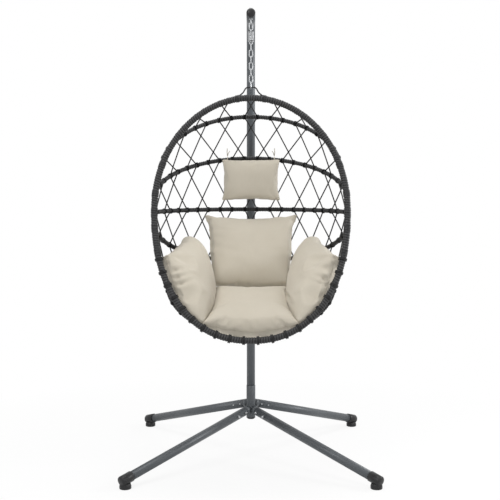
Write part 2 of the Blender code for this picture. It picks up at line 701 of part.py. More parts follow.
def make_rim():
    """Two bent bars whose ends are square to one line at each seam, with room for a spigot."""
    upper, lower = rim_halves()
    (right, right_up), (left, left_up) = seam_places()
    for name, line, side in (("rim_upper", upper, 1), ("rim_lower", lower, -1)):
        starts = [right + right_up * (side * place) for place in (SEAT_GAP / 2, RIM_END)]
        ends = [left + left_up * (side * place) for place in (RIM_END, SEAT_GAP / 2)]
        line = starts + line[1:-1] + ends
        half = as_mesh(tube_curve(name, [line], RIM_DIAMETER / 2, 3))
        for i, (seam, along) in enumerate(seam_places()):
            reach = along * (SPIGOT_LENGTH / 2 + SEAT_GAP)
            room = clear_of(SPIGOT_DIAMETER / 2 + SEAT_GAP, 10)
            cut(half, bar_between(f"{name}_socket_{i}", seam - reach, seam + reach, room, 10))
        paint(half, "wicker")


def make_spigots():
    for i, (seam, along) in enumerate(seam_places()):
        reach = along * (SPIGOT_LENGTH / 2)
        name = "rim_spigot_right" if i == 0 else "rim_spigot_left"
        paint(tube_curve(name, [[seam - reach, seam + reach]], SPIGOT_DIAMETER / 2, 3), "powder_coat")


def make_ribs():
    upper, lower = rim_halves()
    ring = upper + lower[::-1][1:-1]
    room = (RIM_DIAMETER / 2 + SEAT_GAP) / cos(pi / 12)
    coping = as_mesh(tube_curve("rim_coping", [ring], room, 3, cyclic=True, home="cutters"))
    for number in range(1, len(RIBS) + 1):
        rib = as_mesh(tube_curve(f"rib_{number}", [resample(rib_line(number), 18)], RIB_DIAMETER / 2, 2))
        cut(rib, coping)
        paint(rib, "wicker")


def make_bow():
    """Bent rod on top of the rim: a flat top, two legs, and a run along the rim on each side."""
    lift = RIM_DIAMETER / 2 + BOW_WIRE / 2 + SEAT_GAP
    top = RIM_RISE + BOW_RISE
    side = [basket_point(x, v, 0) for x, v in ((0, top), (BOW_FLAT, top), (BOW_FLAT + 0.007, top - 0.003))]
    first = [x for x in (BOW_FOOT - 0.006, BOW_FOOT + 0.004)]
    for share in (0.35, 0.7):
        x = BOW_FLAT + 0.007 + (first[0] - BOW_FLAT - 0.007) * share
        foot_v = RIM_RISE + lift + 0.004
        side.append(basket_point(x, top - 0.003 + (foot_v - top + 0.003) * share, 0))
    angles = [atan2(sqrt(1 - (x / RIM_HALF_WIDTH) ** 2), x / RIM_HALF_WIDTH)
              for x in (first[1], (first[1] + BOW_RUN) / 2, BOW_RUN)]
    side += [rim_at(a, lift) for a in angles]
    mirrored = [Vector((-p.x, p.y, p.z)) for p in side[1:]]
    paint(tube_curve("hanger_bow", [mirrored[::-1] + side], BOW_WIRE / 2, 2), "zinc")


# ---- net ----

def measured(line):
    """Length along a line from its middle, at each of its points."""
    lengths = [0.0]
    for a, b in zip(line, line[1:]):
        lengths.append(lengths[-1] + (b - a).length)
    return [s - lengths[-1] / 2 for s in lengths], lengths[-1] / 2


def at_length(line, marks, goal):
    """Point and direction at a length from the middle of a line."""
    for i in range(len(marks) - 1):
        if marks[i] <= goal <= marks[i + 1]:
            share = (goal - marks[i]) / (marks[i + 1] - marks[i])
            return line[i].lerp(line[i + 1], share), (line[i + 1] - line[i]).normalized()
    return None




def trimmed(start, end, carrier):
    """The cord's end, moved along it to the surface of the rib that it is tied to."""
    along = (end - start).normalized()
    slant = abs(along.dot(carrier))
    square = sqrt(max(0.05, 1 - slant * slant))
    return start + along * ((RIB_DIAMETER / 2 + SEAT_GAP + CORD_DIAMETER / 2 * slant) / square)


def net_routes(band):
    """The band's cords in their two directions: each is tied two pitches further along."""
    upper, lower = rib_line(band), rib_line(band + 1)
    upper_marks, upper_half = measured(upper)
    lower_marks, lower_half = measured(lower)
    ends = {}
    for i in range(-16, 16):
        way = 1 if (i + band) % 2 == 0 else -1
        a_length = (i + 0.5) * CORD_PITCH
        b_length = a_length + way * 2 * CORD_PITCH
        if abs(a_length) < upper_half - CORD_END_ROOM and abs(b_length) < lower_half - CORD_END_ROOM:
            ends[i, way] = at_length(upper, upper_marks, a_length), at_length(lower, lower_marks, b_length)
    routes = {-1: [], 1: []}
    for (i, way), ((a, a_way), (b, b_way)) in ends.items():
        others = [(ends.get((i + way * pitches, -way)), share) for pitches, share in ((1, 0.25), (3, 0.75))]
        met = [(a.lerp(b, share), other[0][0].lerp(other[1][0], share)) for other, share in others if other]
        bends = [(here + there) / 2 for here, there in met if (here - there).length > CORD_MISS]
        if met:
            routes[way].append([trimmed(a, b, a_way), *bends, trimmed(b, a, b_way)])
    return routes


def make_net():
    """Crossing cords between neighbouring ribs, fused where they cross."""
    for band in range(1, len(RIBS)):
        routes = net_routes(band)
        name = f"net_band_{band}"
        net = as_mesh(tube_curve(name, routes[1], CORD_DIAMETER / 2, 0))
        other = as_mesh(tube_curve(f"{name}_other_way", routes[-1], CORD_DIAMETER / 2, 0, home="cutters"))
        paint(weld(net, other), "net_cord")


# ---- cushions ----

def cushion(name, cells, shape, levels=1):
    """A closed pad from a subdivided box: shape maps (s, t, r), each -1 to 1, to a place."""
    mesh = bpy.data.meshes.new(name)
    work = bmesh.new()
    bmesh.ops.create_cube(work, size=2.0)
    for axis in (0, 1):
        edges = [e for e in work.edges
                 if abs(e.verts[0].co[axis] - e.verts[1].co[axis]) > 1e-4]
        bmesh.ops.subdivide_edges(work, edges=edges, cuts=cells[axis] - 1, use_grid_fill=True)
    for vert in work.verts:
        vert.co = shape(*vert.co)
    if work.calc_volume(signed=True) < 0:
        bmesh.ops.reverse_faces(work, faces=work.faces)
    work.to_mesh(mesh)
    work.free()
    obj = place(name, mesh)
    soft = obj.modifiers.new("soft", "SUBSURF")
    soft.levels = levels
    soft.render_levels = levels
    return paint(obj, "cushion_cloth")


def crown(s, t, thick):
    """Thickness of a pad: full in the middle, thin along the seam."""
    return SEAM_THICK + (thick - SEAM_THICK) * (1 - abs(s) ** 3) ** 0.7 * (1 - abs(t) ** 3) ** 0.7


def shell_pad(name, cells, rows, sides, thick, rest, row_bulge=None, pull=0.03):
    """A pad that lies on the ribs: t runs over the rows, s round the basket between the sides."""
    def shape(s, t, r):
        share = (t + 1) / 2
        first, last = sides(share)
        drawn = s * (1 - pull * (1 - t * t))
        degrees = (first + last) / 2 + drawn * (last - first) / 2
        row = rows[0] + (rows[1] - rows[0]) * (0.5 + 0.5 * t * (1 - pull * (1 - s * s)))
        if row_bulge:
            row += row_bulge(s, t)
        depth = RIB_DIAMETER / 2 + rest + crown(s, t, thick) * (r + 1) / 2
        return shell_point(row, degrees, depth)
    return cushion(name, cells, shape)


def between(pair, share):
    return pair[0] + (pair[1] - pair[0]) * share


def make_cushions():
    room = SEAM_ROOM / RIM_HALF_WIDTH * 180 / pi

    def seat_sides(share):
        angle = between(SEAT_SIDES, share)
        return angle, 180 - angle

    def back_sides(share):
        angle = between(BACK_SIDES, share)
        return angle, 180 - angle

    def seat_side_at(row):
        return between(SEAT_SIDES, (row - SEAT_RANGE[0]) / (SEAT_RANGE[1] - SEAT_RANGE[0]))

    shell_pad("seat_cushion", (6, 6), SEAT_RANGE, seat_sides, SEAT_THICK, SEAT_REST, pull=0.0)
    shell_pad("back_cushion", (6, 6), BACK_RANGE, back_sides, BACK_THICK, BACK_REST,
              lambda s, t: 0.10 * (1 - s * s) * max(0.0, -t) ** 2, pull=0.05)
    def arm_peak(s, t):
        off = (s - ARM_PEAK_SIDE) / (1 + ARM_PEAK_SIDE if s < ARM_PEAK_SIDE else 1 - ARM_PEAK_SIDE)
        return -ARM_PEAK * (1 - off * off) * max(0.0, -t) ** 2

    for side, mirror in (("left", True), ("right", False)):
        def arm_sides(share, mirror=mirror):
            row = between(ARM_RANGE, share)
            inner = min(seat_side_at(row), BACK_SIDES[0]) - room
            if row < SEAT_RANGE[0]:
                inner = BACK_SIDES[0] - 2 * room
            return (180 - ARM_OUTER, 180 - inner) if mirror else (ARM_OUTER, inner)
        shell_pad(f"arm_cushion_{side}", (5, 6), ARM_RANGE, arm_sides, ARM_THICK, ARM_REST,
                  arm_peak, pull=0.0)
    make_pillow()


def pillow_middle():
    """The head pillow hangs just in front of the rib that its ties go round."""
    rib = shell_point(2, 90)
    front = rib.y - RIB_DIAMETER / 2 - PILLOW_ROOM
    return Vector((0, front - PILLOW_THICK / 2, rib.z - PILLOW_BELOW_RIB))


def make_pillow():
    centre = pillow_middle()

    def shape(s, t, r):
        x = s * PILLOW_WIDTH / 2 * (1 - 0.05 * (1 - t * t))
        z = t * PILLOW_HEIGHT / 2 * (1 - 0.06 * (1 - s * s))
        thick = 0.010 + (PILLOW_THICK - 0.010) * (1 - abs(s) ** 3) ** 0.6 * (1 - abs(t) ** 3) ** 0.6
        return centre + Vector((x, -r * thick / 2, z))
    cushion("head_pillow", (5, 5), shape)
    round_rib = RIB_DIAMETER / 2 + TIE_DIAMETER / 2 + 2 * SEAT_GAP
    for name, side in (("left", -1), ("right", 1)):
        corner = centre + Vector((side * TIE_X, 0, PILLOW_HEIGHT / 2 - TIE_DROP))
        rib = shell_point(2, degrees(acos(side * TIE_X / rim_width(RIBS[1][1]))))
        over = [rib + Vector((0, -round_rib * cos(a), round_rib * sin(a))) for a in TIE_TURN]
        paint(tube_curve(f"head_pillow_tie_{name}", [[corner, *over]], TIE_DIAMETER / 2, 1), "net_cord")


# ---- main ----

def centre_on_floor():
    """Move everything so that the origin is under the middle of the whole object's box."""
    for obj in bpy.data.objects:
        obj.location.y += POLE_Y


def main():
    global EGG
    clear_scene()
    level = hang_levels()
    top = RIM_RISE + BOW_RISE
    EGG = Vector((0, HANG_Y - top * sin(BASKET_TILT), level["bow"] - top * cos(BASKET_TILT)))
    make_hub()
    make_hub_plug()
    make_legs()
    make_feet()
    make_leg_bolts()
    make_pole()
    make_end_cap()
    make_eye_bolt(level)
    make_quick_link("upper_quick_link", level["upper_link"], Vector((1, 0, 0)))
    make_spring_plug("spring_top_plug", level["top_plug_eye"], level["spring_top"], True, Vector((0, 1, 0)))
    make_spring(level)
    make_spring_plug("spring_bottom_plug", level["bottom_plug_eye"], level["spring_bottom"], False,
                     Vector((1, 0, 0)))
    make_chain(level)
    make_quick_link("lower_quick_link", level["lower_link"], Vector((0, 1, 0)))
    make_bow()
    make_rim()
    make_spigots()
    make_ribs()
    make_net()
    make_cushions()
    centre_on_floor()


main()
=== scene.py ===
"""Looks of the hanging egg chair: wound wicker, cord net, padded cushions, zinc chain, painted stand."""
import json
from math import acos, atan2, ceil, cos, degrees, exp, pi, radians, sin, sqrt

import bmesh
import bpy
from mathutils import Matrix, Vector, noise
from mathutils.bvhtree import BVHTree


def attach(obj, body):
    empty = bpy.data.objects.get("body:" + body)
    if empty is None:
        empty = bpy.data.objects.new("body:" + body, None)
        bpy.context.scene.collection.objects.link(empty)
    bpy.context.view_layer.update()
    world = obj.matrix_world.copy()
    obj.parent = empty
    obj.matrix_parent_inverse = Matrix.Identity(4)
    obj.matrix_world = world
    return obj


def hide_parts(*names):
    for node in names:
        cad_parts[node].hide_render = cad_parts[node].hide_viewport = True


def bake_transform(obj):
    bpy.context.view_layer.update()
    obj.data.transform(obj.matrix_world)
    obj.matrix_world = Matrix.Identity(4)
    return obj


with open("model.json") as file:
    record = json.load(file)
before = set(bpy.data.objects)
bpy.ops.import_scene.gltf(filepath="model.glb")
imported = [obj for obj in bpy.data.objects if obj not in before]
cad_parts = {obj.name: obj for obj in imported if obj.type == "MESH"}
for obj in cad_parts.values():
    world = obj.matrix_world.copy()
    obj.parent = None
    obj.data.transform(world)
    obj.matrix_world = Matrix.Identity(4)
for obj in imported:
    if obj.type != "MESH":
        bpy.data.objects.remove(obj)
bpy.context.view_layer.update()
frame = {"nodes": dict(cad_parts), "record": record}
nodes = frame["nodes"]

X, Y, Z = Vector((1, 0, 0)), Vector((0, 1, 0)), Vector((0, 0, 1))

# ---- places and sizes, in metres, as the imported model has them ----
POLE_Y = 0.0767
HANG_Y = POLE_Y - 0.379      # the line that the basket hangs on
TUBE_R = 0.019               # pole, arm and legs
ARM_Z, ARM_BEND, ARM_REACH = 1.968, 0.200, 0.412
POLE_FOOT, POLE_LOWER_TOP, POLE_UPPER_FOOT = 0.185, 0.9995, 1.0005
POLE_BOLTS = (("lower", 0.945), ("upper", 1.055))
HUB_TOP, HUB_FOOT, HUB_R = 0.320, 0.173, 0.0205
LEG_FRONT_Z, LEG_BACK_Z = 0.214, 0.241     # where a leg's line meets the pole's
FOOT_X, FOOT_Y, FOOT_Z = 0.517, 0.520, 0.038
ROOM = 0.0003                # between seated metal pieces
EYE_Z, UPPER_LINK_Z, TOP_EYE_Z, SPRING_TOP = 1.9357, 1.9160, 1.8997, 1.8921
SPRING_BOTTOM, BOTTOM_EYE_Z, CHAIN_Z, LOWER_LINK_Z, BOW_Z = 1.8541, 1.8465, 1.8297, 1.6700, 1.6603
CHAIN_PITCH, CHAIN_LINKS = 0.0267, 6
CHAIN_LINK_LENGTH, QUICK_LINK_LENGTH, LINK_WIDTH, LINK_WIRE = 0.035, 0.034, 0.018, 0.004
TILT = radians(17.0)
RIM_HALF, RIM_RISE, RIM_DROP, RIM_FULL = 0.3935, 0.4665, 0.5535, 2.25
RIM_R, RIB_R, DEPTH = 0.0125, 0.00825, 0.405
BOW_RISE = 0.0475
# each rib: its angle round the basket's back, and the height of its ends on the rim
RIBS = ((21.0, 0.1705), (50.0, 0.0485), (79.0, -0.032), (106.0, -0.099), (132.0, -0.200), (158.0, -0.330))
CORD_PITCH, CORD_R = 0.0565, 0.0027
MIDDLE = Vector((0, HANG_Y - (RIM_RISE + BOW_RISE) * sin(TILT),
                 BOW_Z - (RIM_RISE + BOW_RISE) * cos(TILT)))


# ---- shader maths ----

class Reading:
    """A shader value that takes part in sums."""

    def __init__(self, looks, socket):
        self.looks, self.socket = looks, socket

    def sum(self, operation, first, second):
        return self.looks.node("ShaderNodeMath", {"operation": operation}, {0: first, 1: second})

    def __add__(self, other):
        return self.sum("ADD", self, other)

    def __radd__(self, other):
        return self.sum("ADD", other, self)

    def __mul__(self, other):
        return self.sum("MULTIPLY", self, other)

    def __rmul__(self, other):
        return self.sum("MULTIPLY", other, self)

    def wave(self):
        return self.sum("SINE", self, 0.0)

    def most(self, other):
        return self.sum("MAXIMUM", self, other)


class Looks:
    """The nodes of a material or of the world."""

    def __init__(self, tree):
        self.tree = tree

    def feed(self, socket, value):
        if isinstance(value, Reading):
            self.tree.links.new(value.socket, socket)
        else:
            socket.default_value = value

    def node(self, kind, settings=None, inputs=None, output=0):
        made = self.tree.nodes.new(kind)
        for name, value in (settings or {}).items():
            setattr(made, name, value)
        for name, value in (inputs or {}).items():
            self.feed(made.inputs[name], value)
        return Reading(self, made.outputs[output])

    def backdrop_ray(self):
        """1 where the camera, a glossy surface or clear matter looks at the backdrop."""
        camera, glossy, through = (self.node("ShaderNodeLightPath", output=f"Is {kind} Ray")
                                   for kind in ("Camera", "Glossy", "Transmission"))
        return camera.most(glossy).most(through)

    def surface(self, name, share, first, second):
        """Sends a mix of two shaders to the tree's output."""
        shaders = self.node("ShaderNodeMixShader", None, {0: share, 1: first, 2: second})
        self.feed(self.tree.nodes[name].inputs["Surface"], shaders)


class Finish(Looks):
    """One procedural material."""

    def __init__(self, name, roughness, metallic=0.0, **fixed):
        self.material = bpy.data.materials.new(name)
        self.material.use_nodes = True
        super().__init__(self.material.node_tree)
        self.shader = self.tree.nodes["Principled BSDF"]
        self.give("Roughness", roughness)
        self.give("Metallic", metallic)
        for socket, value in fixed.items():
            self.give(socket.replace("_", " "), value)
        self.where = self.node("ShaderNodeTexCoord", output="Object")

    def give(self, socket, value):
        self.feed(self.shader.inputs[socket], value)

    def noise(self, scale, detail=2.0, stretch=None):
        where = self.where
        if stretch:
            where = self.node("ShaderNodeMapping", None, {"Vector": where, "Scale": stretch})
        return self.node("ShaderNodeTexNoise", None, {"Vector": where, "Scale": scale, "Detail": detail})

    def between(self, share, low, high):
        """A number from low to high as share goes from 0 to 1."""
        return self.node("ShaderNodeMapRange", None, {"Value": share, "To Min": low, "To Max": high})

    def mix(self, share, first, second):
        # a Mix node's colour sockets are numbers 6 and 7, and its colour result is number 2
        return self.node("ShaderNodeMix", {"data_type": "RGBA"}, {0: share, 6: first, 7: second}, output=2)

    def axis(self, index):
        return self.node("ShaderNodeSeparateXYZ", None, {"Vector": self.where}, output=index)

    def attribute(self, name):
        return self.node("ShaderNodeAttribute", {"attribute_name": name}, output="Fac")

    def bump(self, height, distance, strength=1.0):
        self.give("Normal", self.node("ShaderNodeBump", None,
                                      {"Height": height, "Distance": distance, "Strength": strength}))


def colour(r, g, b):
    return (r, g, b, 1.0)


WHITE = colour(1, 1, 1)


def powder_coat():
    paint = Finish("anthracite_powder_coat", 0.42, 0.15)
    cloud = paint.noise(9.0, 3.0)
    orange_peel = paint.noise(900.0, 2.0)
    paint.give("Base Color", paint.mix(cloud, colour(0.070, 0.078, 0.086), colour(0.088, 0.097, 0.106)))
    paint.give("Roughness", paint.between(cloud, 0.36, 0.50))
    paint.bump(orange_peel, 0.00025, 0.5)
    return paint.material


def black_plastic():
    plastic = Finish("black_moulded_plastic", 0.5, Specular_IOR_Level=0.25)
    cloud = plastic.noise(40.0, 3.0)
    plastic.give("Base Color", plastic.mix(cloud, colour(0.016, 0.016, 0.017), colour(0.026, 0.026, 0.027)))
    plastic.give("Roughness", plastic.between(cloud, 0.30, 0.46))
    plastic.bump(plastic.noise(1400.0, 1.0), 0.0002, 0.5)
    return plastic.material


def zinc():
    metal = Finish("zinc_plate", 0.35, 0.9)
    cloud = metal.noise(160.0, 4.0)
    metal.give("Base Color", metal.mix(cloud, colour(0.34, 0.35, 0.36), colour(0.56, 0.57, 0.58)))
    metal.give("Roughness", metal.between(cloud, 0.26, 0.46))
    metal.bump(cloud, 0.0002, 0.4)
    return metal.material


def wicker():
    """Flat resin strand, finely grained; the grooves between turns are coloured near black as painted shade.
    """
    strand = Finish("black_resin_wicker", 0.5, Specular_IOR_Level=0.3)
    groove_shade = strand.attribute("groove_shade")
    cloud = strand.noise(30.0, 3.0)
    grain = strand.noise(2600.0, 1.0)
    flat = strand.mix(cloud, colour(0.029, 0.029, 0.030), colour(0.046, 0.046, 0.048))
    # painted shade: the grooves between turns are coloured near black
    strand.give("Base Color", strand.mix(groove_shade, flat, colour(0.002, 0.002, 0.002)))
    strand.give("Roughness", strand.between(cloud, 0.46, 0.62))
    strand.bump(grain, 0.0003, 0.6)
    return strand.material


def net_cord():
    cord = Finish("black_net_cord", 0.55, Specular_IOR_Level=0.3)
    cloud = cord.noise(60.0, 3.0)
    cord.give("Base Color", cord.mix(cloud, colour(0.008, 0.008, 0.008), colour(0.018, 0.018, 0.019)))
    cord.give("Roughness", cord.between(cloud, 0.45, 0.65))
    cord.bump(cord.noise(1800.0, 1.0), 0.0003, 0.6)
    return cord.material


def cushion_cloth():
    """Plain woven polyester: two crossing sets of threads, slubs and soft unevenness of colour."""
    cloth = Finish("cream_woven_cloth", 0.88, Sheen_Weight=0.25, Sheen_Roughness=0.5)
    x, y, z = cloth.axis("X"), cloth.axis("Y"), cloth.axis("Z")
    threads = 2 * pi / 0.0016
    across = ((x + y * 0.45) * threads).wave()
    along = ((z + y * 0.75) * threads).wave()
    weave = across * along
    slub = cloth.noise(420.0, 2.0, (1.0, 1.0, 0.15))
    cloud = cloth.noise(14.0, 4.0)
    base = cloth.mix(cloud, colour(0.550, 0.502, 0.412), colour(0.602, 0.554, 0.463))
    cloth.give("Base Color", cloth.mix(slub * 0.35, base, colour(0.460, 0.415, 0.333)))
    cloth.give("Roughness", cloth.between(cloud, 0.82, 0.95))
    cloth.bump(weave * 0.25 + slub * 0.8, 0.0006, 0.55)
    return cloth.material


def seam_thread():
    thread = Finish("cream_seam", 0.85)
    cloud = thread.noise(500.0, 2.0)
    thread.give("Base Color", thread.mix(cloud, colour(0.455, 0.410, 0.330), colour(0.545, 0.500, 0.410)))
    thread.bump(cloud, 0.0005, 0.6)
    return thread.material


MATERIALS = {"powder_coat": powder_coat(), "black_plastic": black_plastic(), "zinc": zinc(),
             "wicker": wicker(), "net_cord": net_cord(), "cushion_cloth": cushion_cloth()}
SEAM_CLOTH = seam_thread()

for entry in frame["record"]["subparts"]:
    shown = nodes[entry["node"]]
    shown.data.materials.clear()
    shown.data.materials.append(MATERIALS[entry["material_slot"]])


# ---- making pieces ----

def piece(name, mesh, finish, body, replaced=(), smooth=True, material=None):
    """An object with its finish. The body is left out where the piece bends between two."""
    obj = bpy.data.objects.new(name, mesh)
    bpy.context.scene.collection.objects.link(obj)
    mesh.materials.clear()
    mesh.materials.append(material or MATERIALS[finish])
    mesh.shade_smooth() if smooth else mesh.shade_flat()
    if body:
        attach(obj, body)
    if replaced:
        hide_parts(*replaced)
    return obj


def soft_edges(obj, width):
    bevel = obj.modifiers.new("soft edges", "BEVEL")
    bevel.width = width
    bevel.segments = 2
    bevel.limit_method = "ANGLE"
    bevel.angle_limit = radians(35)
    bevel.harden_normals = True


def swept(name, routes, radius, sides=12, cyclic=False, closed=True):
    """Mesh of round bars along routes of points; a point may carry a share of the radius."""
    curve = bpy.data.curves.new(name, "CURVE")
    curve.dimensions = "3D"
    curve.bevel_depth = radius
    curve.bevel_resolution = max(0, sides // 2 - 2)
    for route in routes:
        spline = curve.splines.new("POLY")
        spline.points.add(len(route) - 1)
        for point, where in zip(spline.points, route):
            point.co = (*where[:3], 1.0)
            point.radius = where[3] if len(where) > 3 else 1.0
        spline.use_cyclic_u = cyclic
    obj = bpy.data.objects.new(name, curve)
    bpy.context.scene.collection.objects.link(obj)
    bpy.context.view_layer.update()
    mesh = bpy.data.meshes.new_from_object(obj.evaluated_get(bpy.context.evaluated_depsgraph_get()))
    bpy.data.objects.remove(obj)
    bpy.data.curves.remove(curve)
    finish_faces(mesh, closed and not cyclic)
    return mesh


def finish_faces(mesh, open_ends):
    """Closes a bar's open ends and turns its faces outwards."""
    work = bmesh.new()
    work.from_mesh(mesh)
    if open_ends:
        bmesh.ops.holes_fill(work, edges=[e for e in work.edges if e.is_boundary], sides=0)
    bmesh.ops.recalc_face_normals(work, faces=work.faces)
    work.to_mesh(mesh)
    work.free()


def lathed(name, profile, steps, start=Vector(), along=Z):
    """Mesh turned about an axis from start, out of radii and heights along it."""
    work = bmesh.new()
    made = [work.verts.new((r, 0.0, z)) for r, z in profile]
    edges = [work.edges.new(pair) for pair in zip(made, made[1:])]
    bmesh.ops.spin(work, geom=made + edges, axis=Z, cent=Vector(), angle=2 * pi, steps=steps, use_merge=True)
    bmesh.ops.remove_doubles(work, verts=work.verts, dist=1e-6)
    bmesh.ops.recalc_face_normals(work, faces=work.faces)
    turn = Vector(along).to_track_quat("Z", "Y").to_matrix().to_4x4()
    bmesh.ops.transform(work, matrix=Matrix.Translation(start) @ turn, verts=work.verts)
    mesh = bpy.data.meshes.new(name)
    work.to_mesh(mesh)
    work.free()
    return mesh


def joined(name, meshes):
    work = bmesh.new()
    for mesh in meshes:
        work.from_mesh(mesh)
        bpy.data.meshes.remove(mesh)
    mesh = bpy.data.meshes.new(name)
    work.to_mesh(mesh)
    work.free()
    return mesh


def arc(centre, radius, first, last, steps, across, up):
    angles = [first + (last - first) * i / steps for i in range(steps + 1)]
    return [centre + across * (radius * cos(a)) + up * (radius * sin(a)) for a in angles]


def evened(points, count):
    """Points spaced evenly along a line."""
    lengths = [0.0]
    for a, b in zip(points, points[1:]):
        lengths.append(lengths[-1] + (b - a).length)
    made, j = [], 0
    for i in range(count):
        goal = lengths[-1] * i / (count - 1)
        while j < len(points) - 2 and lengths[j + 1] < goal:
            j += 1
        made.append(points[j].lerp(points[j + 1], (goal - lengths[j]) / (lengths[j + 1] - lengths[j])))
    return made


def length_of(points):
    return sum((b - a).length for a, b in zip(points, points[1:]))


def smooth_step(before, a, b, after, t):
    """Place at share t between a and b on a smooth line that also passes before and after."""
    slope_a, slope_b = (b - before) / 2, (after - a) / 2
    q, c = t * t, t ** 3
    return a * (2 * c - 3 * q + 1) + slope_a * (c - 2 * q + t) + b * (3 * q - 2 * c) + slope_b * (c - q)


# ---- basket geometry ----

def in_basket(x, v, w):
    """Place from the basket's middle: x across, v up the opening, w back from it."""
    return MIDDLE + Vector((x, v * sin(TILT) + w * cos(TILT), v * cos(TILT) - w * sin(TILT)))


FRONT = (in_basket(0, 0, -1) - MIDDLE).normalized()


def rim_width(v):
    if v >= 0:
        return RIM_HALF * sqrt(max(0.0, 1 - (v / RIM_RISE) ** 2))
    return RIM_HALF * max(0.0, 1 - (-v / RIM_DROP) ** RIM_FULL) ** (1 / RIM_FULL)


def rim_form(height):
    """Fullness and reach of the rim's upper or lower half."""
    return (2.0, RIM_RISE) if height >= 0 else (RIM_FULL, RIM_DROP)


def rim_at(angle):
    full, reach = rim_form(sin(angle))
    x = RIM_HALF * abs(cos(angle)) ** (2 / full) * (1 if cos(angle) >= 0 else -1)
    return in_basket(x, reach * abs(sin(angle)) ** (2 / full) * (1 if sin(angle) >= 0 else -1), 0.0)


# the ribs, with the basket's edge before the first and after the last
LINES = ((0.0, RIBS[0][1] + 0.1), *RIBS, (180.0, -0.400))


def on_line(index, turn):
    """Point of one of the lines, turn degrees round it from +X to -X."""
    angle, ends = radians(LINES[index][0]), LINES[index][1]
    reach = RIM_RISE if cos(angle) >= 0 else RIM_DROP
    t = radians(turn)
    return in_basket(rim_width(ends) * cos(t), ends + (reach * cos(angle) - ends) * sin(t),
                     DEPTH * sin(angle) * sin(t))


def between_lines(row, turn, smooth):
    """Straight between two ribs, as the net lies, or one smooth curve over them all."""
    i = max(0, min(int(row), len(LINES) - 2))
    a, b = on_line(i, turn), on_line(i + 1, turn)
    if not smooth:
        return a.lerp(b, row - i)
    before, after = on_line(max(i - 1, 0), turn), on_line(min(i + 2, len(LINES) - 1), turn)
    return smooth_step(before, a, b, after, row - i)


def shell_point(row, turn, inwards=0.0, smooth=False):
    """Point of the basket's surface: row counts ribs, turn goes round in degrees from +X to -X."""
    here = between_lines(row, turn, smooth)
    if not inwards:
        return here
    step = 0.15 if smooth else 0.02
    across = between_lines(row, turn + 1, smooth) - between_lines(row, turn - 1, smooth)
    normal = across.cross(between_lines(row + step, turn, smooth) - between_lines(row - step, turn, smooth))
    normal.normalize()
    return here + normal * (inwards if normal.dot(MIDDLE - here) > 0 else -inwards)


def rib_line(number, count=121):
    return [shell_point(number, 180 * i / (count - 1)) for i in range(count)]


# ---- wicker ----

WRAP = 0.0105                # from one turn of the flat strand to the next
TURN_STEPS = 8               # rings of the mesh in one turn
RIM_STRAND, RIB_STRAND = 0.0008, 0.0009    # the strand's rise over the bar
GROOVE_HALF, GROOVE_SLOPE = 0.25, 0.11     # shares of a turn
GROOVE_DEPTH, STRAND_CROWN, STRAND_UNEVEN = 0.09, 0.03, 0.012    # shares of the radius


def wound(name, line, radius, replaced, cyclic=False, sides=12):
    """A bar wound with flat strand: each turn is a shallow band that slants round the bar."""
    line = evened(line, int(ceil(length_of(line) / WRAP)) * TURN_STEPS + 1)
    if cyclic:
        line = line[:-1]
    mesh = swept(name, [line], radius, sides, cyclic, closed=False)
    around = len(mesh.vertices) // len(line)
    # the groove share, which the wicker finish colours near black as painted shade
    groove_shade = mesh.attributes.new("groove_shade", "FLOAT", "POINT")
    for i, vert in enumerate(mesh.vertices):
        ring, side = divmod(i, around)
        turns = ring / TURN_STEPS + side / around
        place = turns - int(turns)
        notch = max(0.0, min(1.0, (GROOVE_HALF - min(place, 1 - place)) / GROOVE_SLOPE))
        thick = 1.0 + STRAND_UNEVEN * sin(turns * 2.4)
        out = vert.co - line[ring]
        vert.co = line[ring] + out * (thick + STRAND_CROWN * sin(pi * place) - GROOVE_DEPTH * notch)
        groove_shade.data[i].value = notch
    finish_faces(mesh, not cyclic)
    piece(name, mesh, "wicker", "basket", replaced)


def rings(name, places, minor, steps=14, sides=6):
    """Turns of cord round a bar: each place is a centre, the bar's direction and a radius."""
    routes = []
    for centre, along, radius in places:
        across = along.cross(Z if abs(along.z) < 0.9 else X).normalized()
        up = along.cross(across).normalized()
        routes.append(arc(centre, radius, 0.0, 2 * pi, steps, across, up)[:-1])
    return swept(name, routes, minor, sides, cyclic=True)


def make_rim():
    parts = 720
    ring = [rim_at(2 * pi * i / parts - pi / 2) for i in range(parts + 1)]
    wound("wicker_rim", ring, RIM_R + RIM_STRAND, ("rim_upper", "rim_lower"), cyclic=True, sides=16)
    lashes = []
    for _, ends in RIBS:
        for side in (-1, 1):
            full, reach = rim_form(ends)
            up = (abs(ends) / reach) ** (full / 2)
            base = atan2(up if ends >= 0 else -up, sqrt(1 - up * up))
            angle = base if side > 0 else pi - base
            for step in range(-2, 3):
                here, there = rim_at(angle + step * 0.0105), rim_at(angle + step * 0.0105 + 0.004)
                lashes.append((here, (there - here).normalized(), RIM_R + 0.0010))
    piece("rim_lashings", rings("rim_lashings", lashes, 0.0017, 18), "wicker", "basket")


def make_ribs():
    for number in range(1, len(RIBS) + 1):
        wound(f"wicker_rib_{number}", rib_line(number), RIB_R + RIB_STRAND, (f"rib_{number}",))


# ---- net ----

BARE_ENDS = (0.030, 0.020, 0.022, 0.022, 0.022, 0.022, 0.022, 0.016)    # of the rim's top, ribs, rim's bottom
TOP_BAND, LOW_BAND = 0, 6
TIE_SIDES = (-CORD_R, CORD_R)    # a tie is two turns, side by side
RIM_TIE, LOW_TIE, RIB_TIE = 0.0008, 0.0022, 0.0016    # a tie's rise over the bar


def marked(line):
    """Each point's length along its line, from the line's middle."""
    marks = [0.0]
    for a, b in zip(line, line[1:]):
        marks.append(marks[-1] + (b - a).length)
    return [s - marks[-1] / 2 for s in marks]


